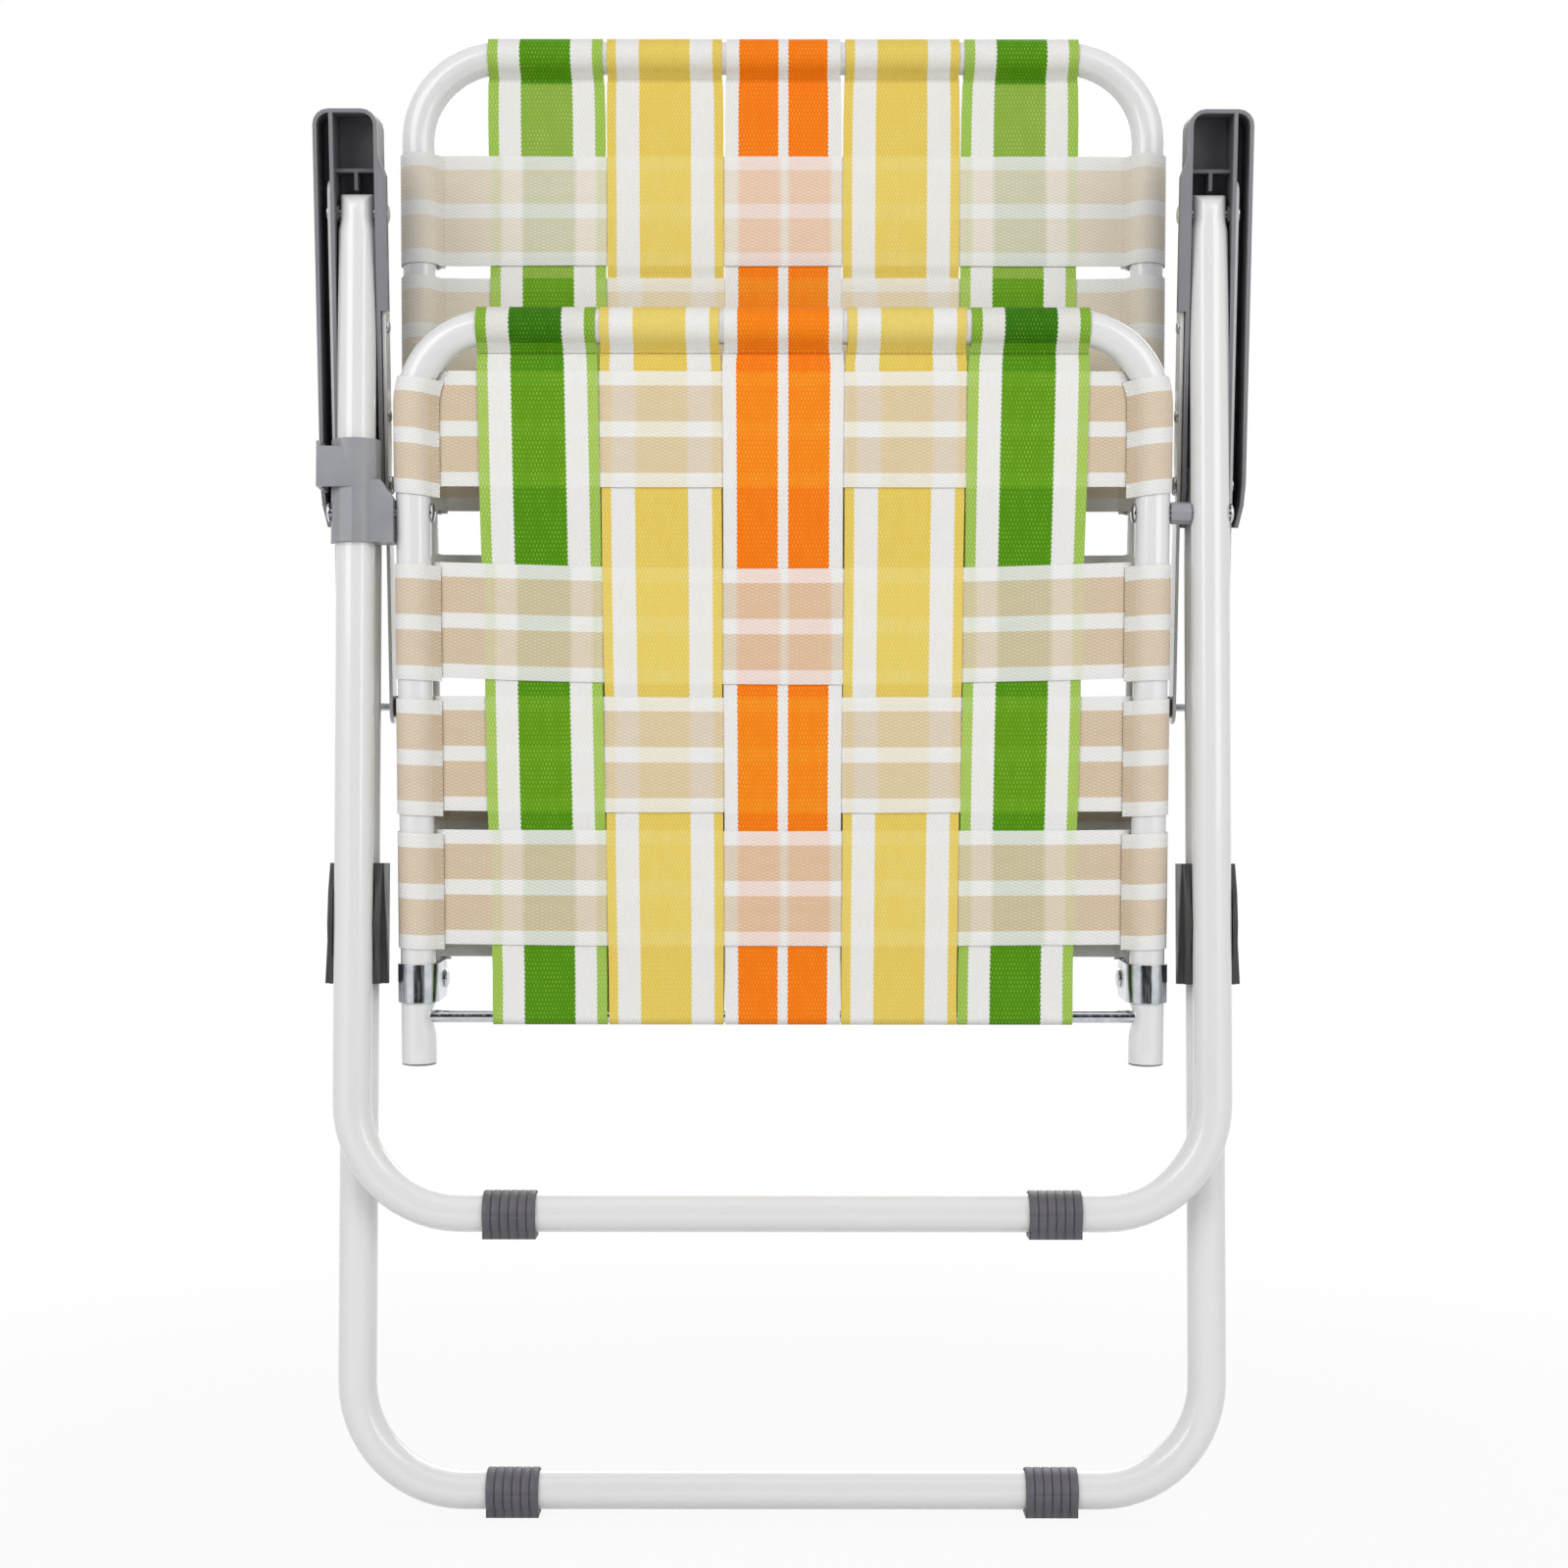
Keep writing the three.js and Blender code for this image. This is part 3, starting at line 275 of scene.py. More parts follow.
class Finish(Nodes):
    """A material and the nodes that feed its shader"""

    def __init__(self, name, sockets):
        self.material = bpy.data.materials.new(name)
        self.material.use_nodes = True
        super().__init__(self.material.node_tree)
        self.shader = self.tree.nodes["Principled BSDF"]
        for socket, value in sockets.items():
            self.shader.inputs[socket].default_value = value

    def read(self, attribute):
        return self.node("ShaderNodeAttribute", {}, "Fac", attribute_name=attribute)

    def point(self):
        return self.node("ShaderNodeTexCoord", {}, "Object")

    def noise(self, scale, detail):
        inputs = {"Vector": self.point(), "Scale": scale, "Detail": detail}
        return self.node("ShaderNodeTexNoise", inputs, "Fac")

    def ramp(self, value, stops, kind="LINEAR"):
        """The outputs of a colour ramp"""
        made = self.tree.nodes.new("ShaderNodeValToRGB")
        bands = made.color_ramp
        bands.interpolation = kind
        while len(bands.elements) < len(stops):
            bands.elements.new(1.0)
        for element, (position, colour) in zip(bands.elements, stops):
            element.position = position
            element.color = colour
        self.tree.links.new(value, made.inputs["Fac"])
        return made.outputs

    def feed(self, socket, value):
        self.tree.links.new(value, self.shader.inputs[socket])

    def bump(self, height, strength):
        """Fine relief of 0.2 mm at full strength"""
        inputs = {"Height": height, "Strength": strength, "Distance": 0.2 * MM}
        self.feed("Normal", self.node("ShaderNodeBump", inputs))


def gloss_paint():
    """White stove paint on steel: a faint orange peel and a little dust"""
    sockets = {"Specular IOR Level": 0.5, "Coat Weight": 0.4, "Coat Roughness": 0.05}
    paint = Finish("gloss_white_paint", sockets)
    dust = paint.noise(9.0, 1.0)
    paint.feed("Base Color", paint.mix(dust, tone(231, 231, 232), tone(235, 235, 235)))
    paint.feed("Roughness", paint.spread(dust, 0.0, 1.0, 0.16, 0.22, "LINEAR"))
    orange_peel = paint.noise(160.0, 1.0)
    paint.bump(orange_peel, 0.02)
    return paint.material


class Plastic(Finish):
    """Plastic from a mould, with a fine grain and slight flow marks"""

    def __init__(self, name, rough, grain):
        super().__init__(name, {"Specular IOR Level": 0.45})
        self.flow = self.noise(45.0, 5.0)
        self.feed("Roughness", self.by_flow(*rough))
        self.bump(self.noise(2600.0, 2.0), grain)

    def by_flow(self, low, high):
        return self.spread(self.flow, 0.3, 0.7, low, high)


def moulded_plastic(name, dark, light, rough, grain):
    """Plastic of one colour, darker and lighter along its flow marks"""
    plastic = Plastic(name, (rough - 0.06, rough + 0.08), grain)
    plastic.feed("Base Color", plastic.ramp(plastic.flow, [(0.3, dark), (0.7, light)])["Color"])
    return plastic.material


def armrest_plastic():
    """Slate plastic, paler at the rim than deep in the hollow: a painted highlight on the rim and painted
    shade down in the hollow
    """
    plastic = Plastic("slate_plastic", (0.36, 0.48), 0.1)
    # Painted light by depth into the hollow: palest at the rim as a painted highlight, darker down the walls
    # as painted shade, a little paler again at the deepest
    stops = [(0.0, tone(136, 136, 142)), (0.08, tone(126, 126, 132)), (0.2, tone(104, 104, 110)),
             (0.85, tone(94, 95, 101)), (1.0, tone(108, 109, 115))]
    rim_highlight_hollow_shade = plastic.ramp(plastic.read("depth"), stops)["Color"]
    plastic.feed("Base Color", plastic.mix(plastic.by_flow(0.0, 0.12), rim_highlight_hollow_shade, tone(60, 60, 66)))
    return plastic.material


def plated_metal(name, dark, light, rough):
    """Bright zinc plating with fine drawn marks"""
    metal = Finish(name, {"Metallic": 1.0})
    stretched = {"Vector": metal.point(), "Scale": (900.0, 90.0, 90.0)}
    drawn = {"Vector": metal.node("ShaderNodeMapping", stretched), "Scale": 1.0, "Detail": 3.0}
    marks = metal.node("ShaderNodeTexNoise", drawn, "Fac")
    cloud = metal.noise(120.0, 3.0)
    metal.feed("Base Color", metal.ramp(cloud, [(0.3, dark), (0.7, light)])["Color"])
    metal.feed("Roughness", metal.spread(marks, 0.3, 0.7, rough - 0.06, rough + 0.1))
    metal.bump(marks, 0.06)
    return metal.material


BEIGE = tone(215, 195, 168)
# The back's cross straps' beige, painted paler to stand for light showing through them from behind
PALE_BEIGE = tone(228, 217, 198)
WEB_WHITE = tone(236, 235, 232)
LEAF = tone(82, 146, 2)
LIT_LEAF = tone(142, 178, 64)
LIME = tone(160, 196, 82)
YELLOW = tone(231, 204, 94)
ORANGE = tone(248, 125, 2)

# Stripes as (distance from the strap's middle at which a colour starts, colour)
GREEN_STRIPES = [(0.0, LEAF), (15.2, WEB_WHITE), (28.4, LIME)]
LIT_GREEN_STRIPES = [(0.0, LIT_LEAF), (15.2, WEB_WHITE), (28.4, LIME)]
YELLOW_STRIPES = [(0.0, YELLOW), (15.2, WEB_WHITE), (29.0, YELLOW)]
ORANGE_STRIPES = [(0.0, WEB_WHITE), (2.9, ORANGE), (26.6, WEB_WHITE)]
BEIGE_STRIPES = [(0.0, WEB_WHITE), (4.3, BEIGE), (24.8, WEB_WHITE)]
PALE_STRIPES = [(0.0, WEB_WHITE), (4.3, PALE_BEIGE), (24.8, WEB_WHITE)]
COLUMN_STRIPES = [GREEN_STRIPES, YELLOW_STRIPES, ORANGE_STRIPES, YELLOW_STRIPES, GREEN_STRIPES]
STRIPE_REACH = 40.0
ROW_REACH = 60.0
CROSS_TEETH = 0.12
LONG_TEETH = 0.28
CROSS_FRINGE = 1.1
LONG_FRINGE = 0.9
FRINGE_LENGTH = 1.7
LONG_GLOW = 0.24
STITCH_LENGTH = 3.2
STITCH_LINE = 1.6


def shown_through(colour, share):
    """A colour that shows through the strap above it by a share, kept in its alpha"""
    return tuple(colour[:3]) + (share,)


def long_straps_behind():
    """The long straps' stripes across the chair, as they show through a cross strap"""
    stops = [(-REACH, shown_through(BEIGE, 0.0))]
    for column, stripes in zip(COLUMNS, COLUMN_STRIPES):
        edges = [edge for edge, _ in stripes] + [LONG_WIDTH / 2]
        colours = [colour for _, colour in stripes]
        for edge, colour in reversed(list(zip(edges[1:], colours))):
            stops.append((column - edge, shown_through(colour, 1.0)))
        for edge, colour in stripes[1:]:
            stops.append((column + edge, shown_through(colour, 1.0)))
        stops.append((column + edges[-1], shown_through(BEIGE, 0.0)))
    return [((at + REACH) / (2 * REACH), colour) for at, colour in stops]


class Webbing(Finish):
    """Woven plastic webbing, which finds its place on the strap from the strap's attributes"""

    def __init__(self, name):
        super().__init__(name, {"Specular IOR Level": 0.14})
        self.across = self.read("across")
        self.along = self.read("along")
        self.seam = self.read("seam")
        self.on_loop = self.spread(self.seam, *ON_LOOP, 0.0, 1.0)

    def wave(self, value, length):
        return self.calc("SINE", self.calc("MULTIPLY", value, math.tau / length))

    def banded(self, value, reach, bands):
        """Bands of plain colour from 0 to a reach"""
        stops = [(edge / reach, colour) for edge, colour in bands]
        return self.ramp(self.calc("DIVIDE", value, reach), stops, "CONSTANT")

    def striped(self, stripes, teeth):
        """Stripes on both sides of the middle, with edges that step to and fro with the picks"""
        steps = self.calc("MULTIPLY", self.wave(self.along, PICK_LENGTH), teeth)
        from_middle = self.calc("ADD", self.calc("ABSOLUTE", self.across), steps)
        return self.banded(from_middle, STRIPE_REACH, stripes)["Color"]

    def ragged(self, attribute, fringe):
        """An attribute that wavers from thread to thread, for an edge seen through the weave"""
        threads = self.calc("MULTIPLY", self.wave(self.across, FRINGE_LENGTH), fringe)
        return self.calc("ADD", self.read(attribute), threads)

    def over_another(self, dyed, veiled, behind, glow):
        """The strap's colour with light from the strap behind it"""
        room = self.mix(1.0, WHITE, dyed, "SUBTRACT")
        clear = self.mix(1.0, self.gamma(dyed, 0.5), room, "MULTIPLY")
        through = self.mix(1.0, clear, behind["Color"], "MULTIPLY")
        return self.mix(self.calc("MULTIPLY", behind["Alpha"], glow), veiled, through, "ADD")

    def highlight_patches(self):
        """How bright the raised threads' painted highlight is, stronger in some patches than in others"""
        drawn = {0: self.calc("MULTIPLY", self.across, 0.2),
                 1: self.calc("MULTIPLY", self.along, 0.05)}
        inputs = {"Vector": self.node("ShaderNodeCombineXYZ", drawn), "Scale": 1.0, "Detail": 2.0}
        return self.spread(self.node("ShaderNodeTexNoise", inputs, "Fac"), 0.38, 0.62, 0.16, 0.56)

    def stitches(self):
        """A line of stitches along the seam"""
        from_line = self.calc("ABSOLUTE", self.calc("SUBTRACT", self.seam, STITCH_LINE))
        row = self.spread(from_line, 0.25, 0.5, 1.0, 0.0)
        gaps = self.spread(self.wave(self.across, STITCH_LENGTH), -0.5, -0.1, 0.0, 1.0)
        return self.calc("MULTIPLY", row, gaps)

    def woven(self, colour):
        """Finishes the shader: raised and sunk threads in brick-like picks, with painted highlights and
        painted shade, and stitches
        """
        warp = self.wave(self.across, 2 * THREAD_WIDTH)
        weft = self.wave(self.along, 2 * PICK_LENGTH)
        picks = self.calc("MULTIPLY", warp, weft)
        # Painted shade on the sunk threads and in the furrows between rows of picks; a painted highlight on
        # the raised threads, in patches
        furrow_shade = self.spread(self.calc("ABSOLUTE", weft), 0.0, 0.5, 0.22, 0.0)
        raised = self.spread(picks, 0.25, 0.9, 0.0, 1.0)
        lit = self.calc("MULTIPLY", raised, self.highlight_patches())
        sunk_shade = self.calc("MAXIMUM", self.spread(picks, -0.95, -0.15, 0.36, 0.0), furrow_shade)
        shine = self.spread(picks, 0.6, 1.0, 0.0, 1.0)
        highlight_thread = self.gamma(colour, self.spread(shine, 0.0, 1.0, 0.55, 0.28))
        shaded_thread = self.gamma(colour, 1.7)
        threads = self.mix(lit, self.mix(sunk_shade, colour, shaded_thread), highlight_thread)
        stitch = self.stitches()
        # Painted shade in the stitches, in the sunk threads' darker colour
        sewn = self.mix(self.calc("MULTIPLY", stitch, 0.4), threads, shaded_thread)
        self.feed("Base Color", sewn)
        self.feed("Roughness", self.spread(picks, -0.6, 0.9, 0.66, 0.42))
        self.bump(self.calc("ADD", picks, self.calc("MULTIPLY", stitch, 1.5)), 0.6)
        return self.material


def cross_webbing(name, stripes, glow, veils):
    """A cross strap's webbing: the long straps behind it veil its beige and its white by two
    shares, and it is a little paler on its loops"""
    web = Webbing(name)
    bare = web.striped(stripes, CROSS_TEETH)
    dyed = web.mix(web.calc("MULTIPLY", web.on_loop, 0.12), bare, WHITE)
    at = web.spread(web.ragged("over", CROSS_FRINGE), -REACH, REACH, 0.0, 1.0, "LINEAR")
    behind = web.ramp(at, long_straps_behind(), "CONSTANT")
    blue = web.node("ShaderNodeSeparateColor", {"Color": bare}, "Blue")
    veil = web.spread(blue, 0.45, 0.75, *veils)
    veiled = web.mix(web.calc("MULTIPLY", behind["Alpha"], veil), dyed, behind["Color"])
    return web.woven(web.over_another(dyed, veiled, behind, glow))


def long_webbing(name, stripes, on_rail, lit_stripes=None):
    """A long strap's webbing: deeper or paler over the rail by a power, with the cross straps
    behind it showing through, and paler stripes where a single layer lets light through"""
    web = Webbing(name)
    bare = web.striped(stripes, LONG_TEETH)
    if lit_stripes:
        bare = web.mix(web.read("single"), bare, web.striped(lit_stripes, LONG_TEETH))
    dyed = web.mix(web.on_loop, bare, web.gamma(bare, on_rail))
    rows = [(edge, shown_through(colour, 1.0)) for edge, colour in BEIGE_STRIPES]
    rows.append((CROSS_WIDTH / 2, shown_through(BEIGE, 0.0)))
    behind = web.banded(web.ragged("crossing", LONG_FRINGE), ROW_REACH, rows)
    return web.woven(web.over_another(dyed, dyed, behind, LONG_GLOW))


FINISHES = {
    "white_paint": gloss_paint(),
    "slate_plastic": armrest_plastic(),
    "clip_plastic": moulded_plastic(
        "clip_plastic", tone(146, 147, 152), tone(158, 159, 164), 0.36, 0.06),
    "foot_plastic": moulded_plastic(
        "foot_plastic", tone(88, 86, 93), tone(102, 100, 107), 0.5, 0.1),
    "dark_plastic": moulded_plastic(
        "dark_plastic", tone(62, 61, 64), tone(74, 73, 76), 0.42, 0.1),
    "zinc": plated_metal("bright_zinc", tone(184, 189, 195), tone(212, 215, 219), 0.16),
    "beige_strap": cross_webbing("beige_webbing", BEIGE_STRIPES, 0.28, (0.1, 0.17)),
    # The back's cross straps, in a paler beige that is painted light showing through them from behind
    "back_beige": cross_webbing("backlit_beige_webbing", PALE_STRIPES, 0.22, (0.19, 0.17)),
    "green_strap": long_webbing("green_webbing", GREEN_STRIPES, 1.4, LIT_GREEN_STRIPES),
    "yellow_strap": long_webbing("yellow_webbing", YELLOW_STRIPES, 0.86),
    "orange_strap": long_webbing("orange_webbing", ORANGE_STRIPES, 0.93),
}

# Angles, in degrees, past which an edge stays sharp, and distances at which points are merged
CREASE = 35.0
FOOT_CREASE = 50.0
STRAP_CREASE = 60.0
SOFT_CREASE = 32.0
FLAT_ANGLE = 1.5
SAME_POINT = 2e-6
SPUN_POINT = 1e-4


# Pieces

def piece(name, bm, spot, slot, crease=CREASE, finish=None):
    """A mesh from a bmesh in its place, with its slot's finish or one of its own"""
    bmesh.ops.transform(bm, matrix=spot, verts=bm.verts)
    mesh = bpy.data.meshes.new(name)
    bm.to_mesh(mesh)
    bm.free()
    mesh.shade_smooth()
    mesh.set_sharp_from_angle(angle=math.radians(crease))
    mesh.materials.append(FINISHES[finish or slot])
    made = bpy.data.objects.new(name, mesh)
    bpy.context.scene.collection.objects.link(made)
    return made


def on_body(made, body, *nodes):
    """Lets a piece ride on a body, in place of the solids that it stands for"""
    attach(made, body)
    if nodes:
        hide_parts(*nodes)


def thickness(made, millimetres, offset):
    """Gives a surface its wall: inwards at an offset of -1, to both sides at 0"""
    wall = made.modifiers.new("thickness", "SOLIDIFY")
    wall.thickness = millimetres * MM
    wall.offset = offset
    made.modifiers.new("flat_faces", "WEIGHTED_NORMAL").keep_sharp = True
    return made


def share_of(value, low, high):
    """How far a value is from low to high, kept in 0 to 1"""
    return min(1.0, max(0.0, (value - low) / (high - low)))


def smoothstep(value, low, high):
    share = share_of(value, low, high)
    return share * share * (3.0 - 2.0 * share)


def drawn_out(bm, edges, step):
    """Extrudes edges by a step and gives the new edges and vertices"""
    made = bmesh.ops.extrude_edge_only(bm, edges=edges)["geom"]
    verts = [g for g in made if isinstance(g, bmesh.types.BMVert)]
    fresh = set(verts)
    bmesh.ops.translate(bm, vec=step, verts=verts)
    rim = [g for g in made if isinstance(g, bmesh.types.BMEdge) and fresh.issuperset(g.verts)]
    return rim, verts


def bent_tube(end_half, rail_half, end_z, rail_z, bend, radius, stops):
    """A U of tube from one end round two bends to the other, with rings at stops from each end"""
    outline = ((-end_half, end_z), (-rail_half, rail_z), (rail_half, rail_z), (end_half, end_z))
    corners = [Vector((x, 0.0, z)) for x, z in outline]
    runs = [(b - a).normalized() for a, b in zip(corners, corners[1:])]
    bm = bmesh.new()
    turned_to = runs[0].to_track_quat("Z", "Y").to_matrix().to_4x4()
    facing = Matrix.Translation(corners[0]) @ turned_to
    bmesh.ops.create_circle(bm, cap_ends=False, radius=radius, segments=TUBE_SIDES, matrix=facing)
    ring = list(bm.edges)
    at = corners[0]
    for stop in stops:
        ring, _ = drawn_out(bm, ring, corners[0] + runs[0] * stop - at)
        at = corners[0] + runs[0] * stop
    for i in (1, 2):
        turn = runs[i - 1].angle(runs[i])
        start = corners[i] - runs[i - 1] * (bend * math.tan(turn / 2))
        axis = runs[i - 1].cross(runs[i]).normalized()
        ring, _ = drawn_out(bm, ring, start - at)
        centre = start + axis.cross(runs[i - 1]) * bend
        spun = bmesh.ops.spin(bm, geom=ring, cent=centre, axis=axis, angle=turn, steps=BEND_STEPS)
        ring = [g for g in spun["geom_last"] if isinstance(g, bmesh.types.BMEdge)]
        at = corners[i] + runs[i] * (bend * math.tan(turn / 2))
    for stop in reversed(stops):
        ring, _ = drawn_out(bm, ring, corners[3] - runs[2] * stop - at)
        at = corners[3] - runs[2] * stop
    drawn_out(bm, ring, corners[3] - at)
    bmesh.ops.recalc_face_normals(bm, faces=bm.faces)
    return bm


def open_rim(bm, side):
    """The open edges on one side of the chair"""
    return [e for e in bm.edges if e.is_boundary and e.verts[0].co.x * side > 0]


def close_end(bm, side):
    """Closes one end of a pair of legs with a half round that follows its rim"""
    rim = open_rim(bm, side)
    middle = side * LEG_HALF
    flanks = [e for e in rim if min(abs(v.co.x - middle) for v in e.verts) > NEAR]
    bmesh.ops.bridge_loops(bm, edges=flanks)
    bmesh.ops.holes_fill(bm, edges=open_rim(bm, side), sides=3)
    bmesh.ops.recalc_face_normals(bm, faces=bm.faces)
    shared = [e for e in rim if e.is_valid and len(e.link_faces) == 2]
    corner = [e for e in shared if e.calc_face_angle() > END_CORNER]
    bmesh.ops.bevel(bm, geom=corner, offset=END_ROUND, affect="EDGES", segments=3, profile=0.5,
                    material=-1)


def leg_tube(name, top, rail, spot, body):
    """A pair of legs with their rail"""
    pinch = [PINCH_LENGTH + PINCH_BLEND * k / PINCH_STEPS for k in range(PINCH_STEPS + 1)]
    stops = [LEG_RADIUS + d for d in [END_RING] + pinch]
    bm = bent_tube(LEG_HALF, LEG_HALF, top + LEG_RADIUS, rail, LEG_BEND, LEG_RADIUS, stops)
    for v in bm.verts:
        flat = smoothstep(v.co.z, top - PINCH_LENGTH - PINCH_BLEND, top - PINCH_LENGTH)
        axis = math.copysign(LEG_HALF, v.co.x)
        if v.co.z > top + LEG_RADIUS - NEAR:
            v.co.z = top + math.sqrt(max(0.0, LEG_RADIUS ** 2 - v.co.y ** 2))
        if flat:
            v.co.x = axis + (v.co.x - axis) * (1.0 + (PINCH_SHARE - 1.0) * flat)
    for side in (-1.0, 1.0):
        close_end(bm, side)
    on_body(piece(name, bm, spot, "white_paint"), body, name.replace("_painted", "_tube"))


def turned(profile, steps):
    """A piece turned about X from (radius, x) points"""
    bm = bmesh.new()
    points = [bm.verts.new((x, 0.0, r)) for r, x in profile]
    edges = [bm.edges.new(pair) for pair in zip(points, points[1:])]
    bmesh.ops.spin(bm, geom=points + edges, cent=(0, 0, 0), axis=(1, 0, 0), angle=math.tau,
                   steps=steps, use_merge=True)
    bmesh.ops.remove_doubles(bm, verts=bm.verts, dist=SPUN_POINT)
    bmesh.ops.recalc_face_normals(bm, faces=bm.faces)
    return bm


def dome(x, radius, height):
    """Points of a domed head that seats at x, from its rim to its crown"""
    lip = DOME_LIP * height
    points = [(radius, x), (radius, x + lip)]
    for a in [math.radians(degrees) for degrees in DOME_ANGLES]:
        points.append((radius * math.cos(a), x + (lip + (height - lip) * math.sin(a))))
    return points


def rivet(node, body):
    """A rivet with two domed heads, where its solid is"""
    low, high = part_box(node)
    middle = (low + high) / 2
    half = (high.x - low.x) / 2 / MM - HEAD_HEIGHT
    shank = REAR_SHANK_RADIUS if node.startswith("rear_arm") else SHANK_RADIUS
    head = dome(half, HEAD_RADIUS, HEAD_HEIGHT)
    profile = [(r, -x) for r, x in reversed(head)] + [(shank, -half), (shank, half)] + head
    spot = Matrix.Translation(middle) @ Matrix.Scale(MM, 4)
    on_body(piece(f"{node}_domed", turned(profile, RIVET_SIDES), spot, "zinc"), body, node)


def foot(node, spot, body):
    """A ribbed sleeve with a flat sole and a moulding line along its middle"""
    half = FOOT_LENGTH / 2
    profile = [(r, -half + inset) for r, inset in FOOT_MOUTH]
    pitch = FOOT_LENGTH / RIBS
    for i in range(RIBS):
        x = -half + pitch * (i + 0.5)
        profile += [(FOOT_SKIN + rise, x - wide) for rise, wide in RIB_EDGE]
        profile += [(FOOT_SKIN + rise, x + wide) for rise, wide in reversed(RIB_EDGE)]
    profile += [(r, half - inset) for r, inset in reversed(FOOT_MOUTH)] + profile[:1]
    bm = turned(profile, FOOT_SIDES)
    for v in bm.verts:
        around = math.hypot(v.co.y, v.co.z)
        if around <= FOOT_OUTSIDE:
            continue
        if abs(v.co.z) < MOULD_LINE_HALF:
            v.co.y *= 1.0 - MOULD_LINE_DEPTH / around
        if v.co.z > 0:
            v.co.z *= FOOT_CROWN
        if v.co.z < 0 and abs(v.co.y) < SOLE_WIDTH / 2:
            v.co.z = -SOLE_DROP
    on_body(piece(f"{node}_ribbed", bm, spot, "foot_plastic", FOOT_CREASE), body, node)


def softened(node, body, slot, round_off):
    """A solid's own shape with its edges rounded off"""
    bm = bmesh.new()
    bm.from_mesh(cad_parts[node].data)
    bmesh.ops.remove_doubles(bm, verts=bm.verts, dist=SAME_POINT)
    bmesh.ops.dissolve_limit(bm, angle_limit=math.radians(FLAT_ANGLE), verts=bm.verts,
                             edges=bm.edges)
    # An armrest's depth into its hollow, which the slate finish turns into a painted highlight at the rim
    # and painted shade down in the hollow
    if node.startswith("armrest"):
        depth = bm.verts.layers.float.new("depth")
        to_arm = ARMS.inverted()
        for v in bm.verts:
            v[depth] = ((to_arm @ v.co).y - ARMREST_RIM) / ARMREST_DEPTH
    made = piece(f"{node}_moulded", bm, Matrix.Identity(4), slot, SOFT_CREASE)
    edges = made.modifiers.new("rounded_edges", "BEVEL")
    edges.width = round_off * MM
    edges.segments = 3
    edges.limit_method = "ANGLE"
    edges.angle_limit = math.radians(SOFT_CREASE)
    on_body(made, body, node)


# Straps

def seat_half(z):
    """Half the seat's width, to the tubes' middles, at a height"""
    return (SEAT_HALF_REAR + (SEAT_HALF_FRONT - SEAT_HALF_REAR) * (z - SEAT_END)
            / (SEAT_FRONT - SEAT_END))


def back_half(h):
    """Half the back's width, to the tubes' middles, at a place along it"""
    return seat_half(HINGE_Z) + (BACK_HALF_TOP - seat_half(HINGE_Z)) * h / BACK_HEIGHT


def seat_gather(z):
    """How far the long straps are drawn together at a height on the seat"""
    return GATHER_ROD + (GATHER_FRONT - GATHER_ROD) * share_of(z, ROD_Z, SEAT_FRONT)


def back_gather(h):
    """How far the long straps are drawn together at a place along the back"""
    return GATHER_ROD + (GATHER_TOP - GATHER_ROD) * share_of(h, 0.0, BACK_HEIGHT)


# What a cross strap has to know of the seat or back that it is on; its tails lie towards tail
SEAT_PANEL = SimpleNamespace(half=seat_half, gather=seat_gather, rail=SEAT_FRONT, bend=SEAT_BEND,
                             tail=-1.0, spot=SEAT, body="seat", finish="beige_strap")
BACK_PANEL = SimpleNamespace(half=back_half, gather=back_gather, rail=BACK_HEIGHT, bend=BACK_BEND,
                             tail=1.0, spot=BACK, body="back", finish="back_beige")


def on_circle(centre, radius, first, last, steps):
    angles = [first + (last - first) * k / steps for k in range(steps + 1)]
    return [Vector((centre.x + radius * math.cos(a), centre.y + radius * math.sin(a)))
            for a in angles]


def touch(point, centre, radius):
    """How far round from a point's direction a strap from it touches a circle"""
    return math.acos(radius / (point - centre).length)


def over_or_under(column, row):
    """An offset to the one side or the other, by turns"""
    return WEAVE if (column + row) % 2 else -WEAVE


def weave_run(crossings, half, gap_ends, edges=()):
    """Points (position, offset, distance to the crossing strap's middle) over and under a series
    of crossings, with edges as further distances past a crossing strap's edge"""
    points = []
    ends = [half - CROSSING_INSET] + [half + e for e in edges]
    steps = [-e for e in reversed(ends)] + [-half / 2, 0.0, half / 2] + ends
    for i, (at, offset) in enumerate(crossings):
        for step in steps:
            points.append((at + step, offset, abs(step)))
        if i + 1 < len(crossings):
            next_at, next_offset = crossings[i + 1]
            middle = (at + next_at) / 2
            points.append((middle, (offset + next_offset) / 2, middle - at))
    first, last = gap_ends
    lead = ((points[0][0] + first) / 2, points[0][1] / 2, UNCROSSED)
    trail = ((points[-1][0] + last) / 2, points[-1][1] / 2, UNCROSSED)
    return [lead] + points + [trail]


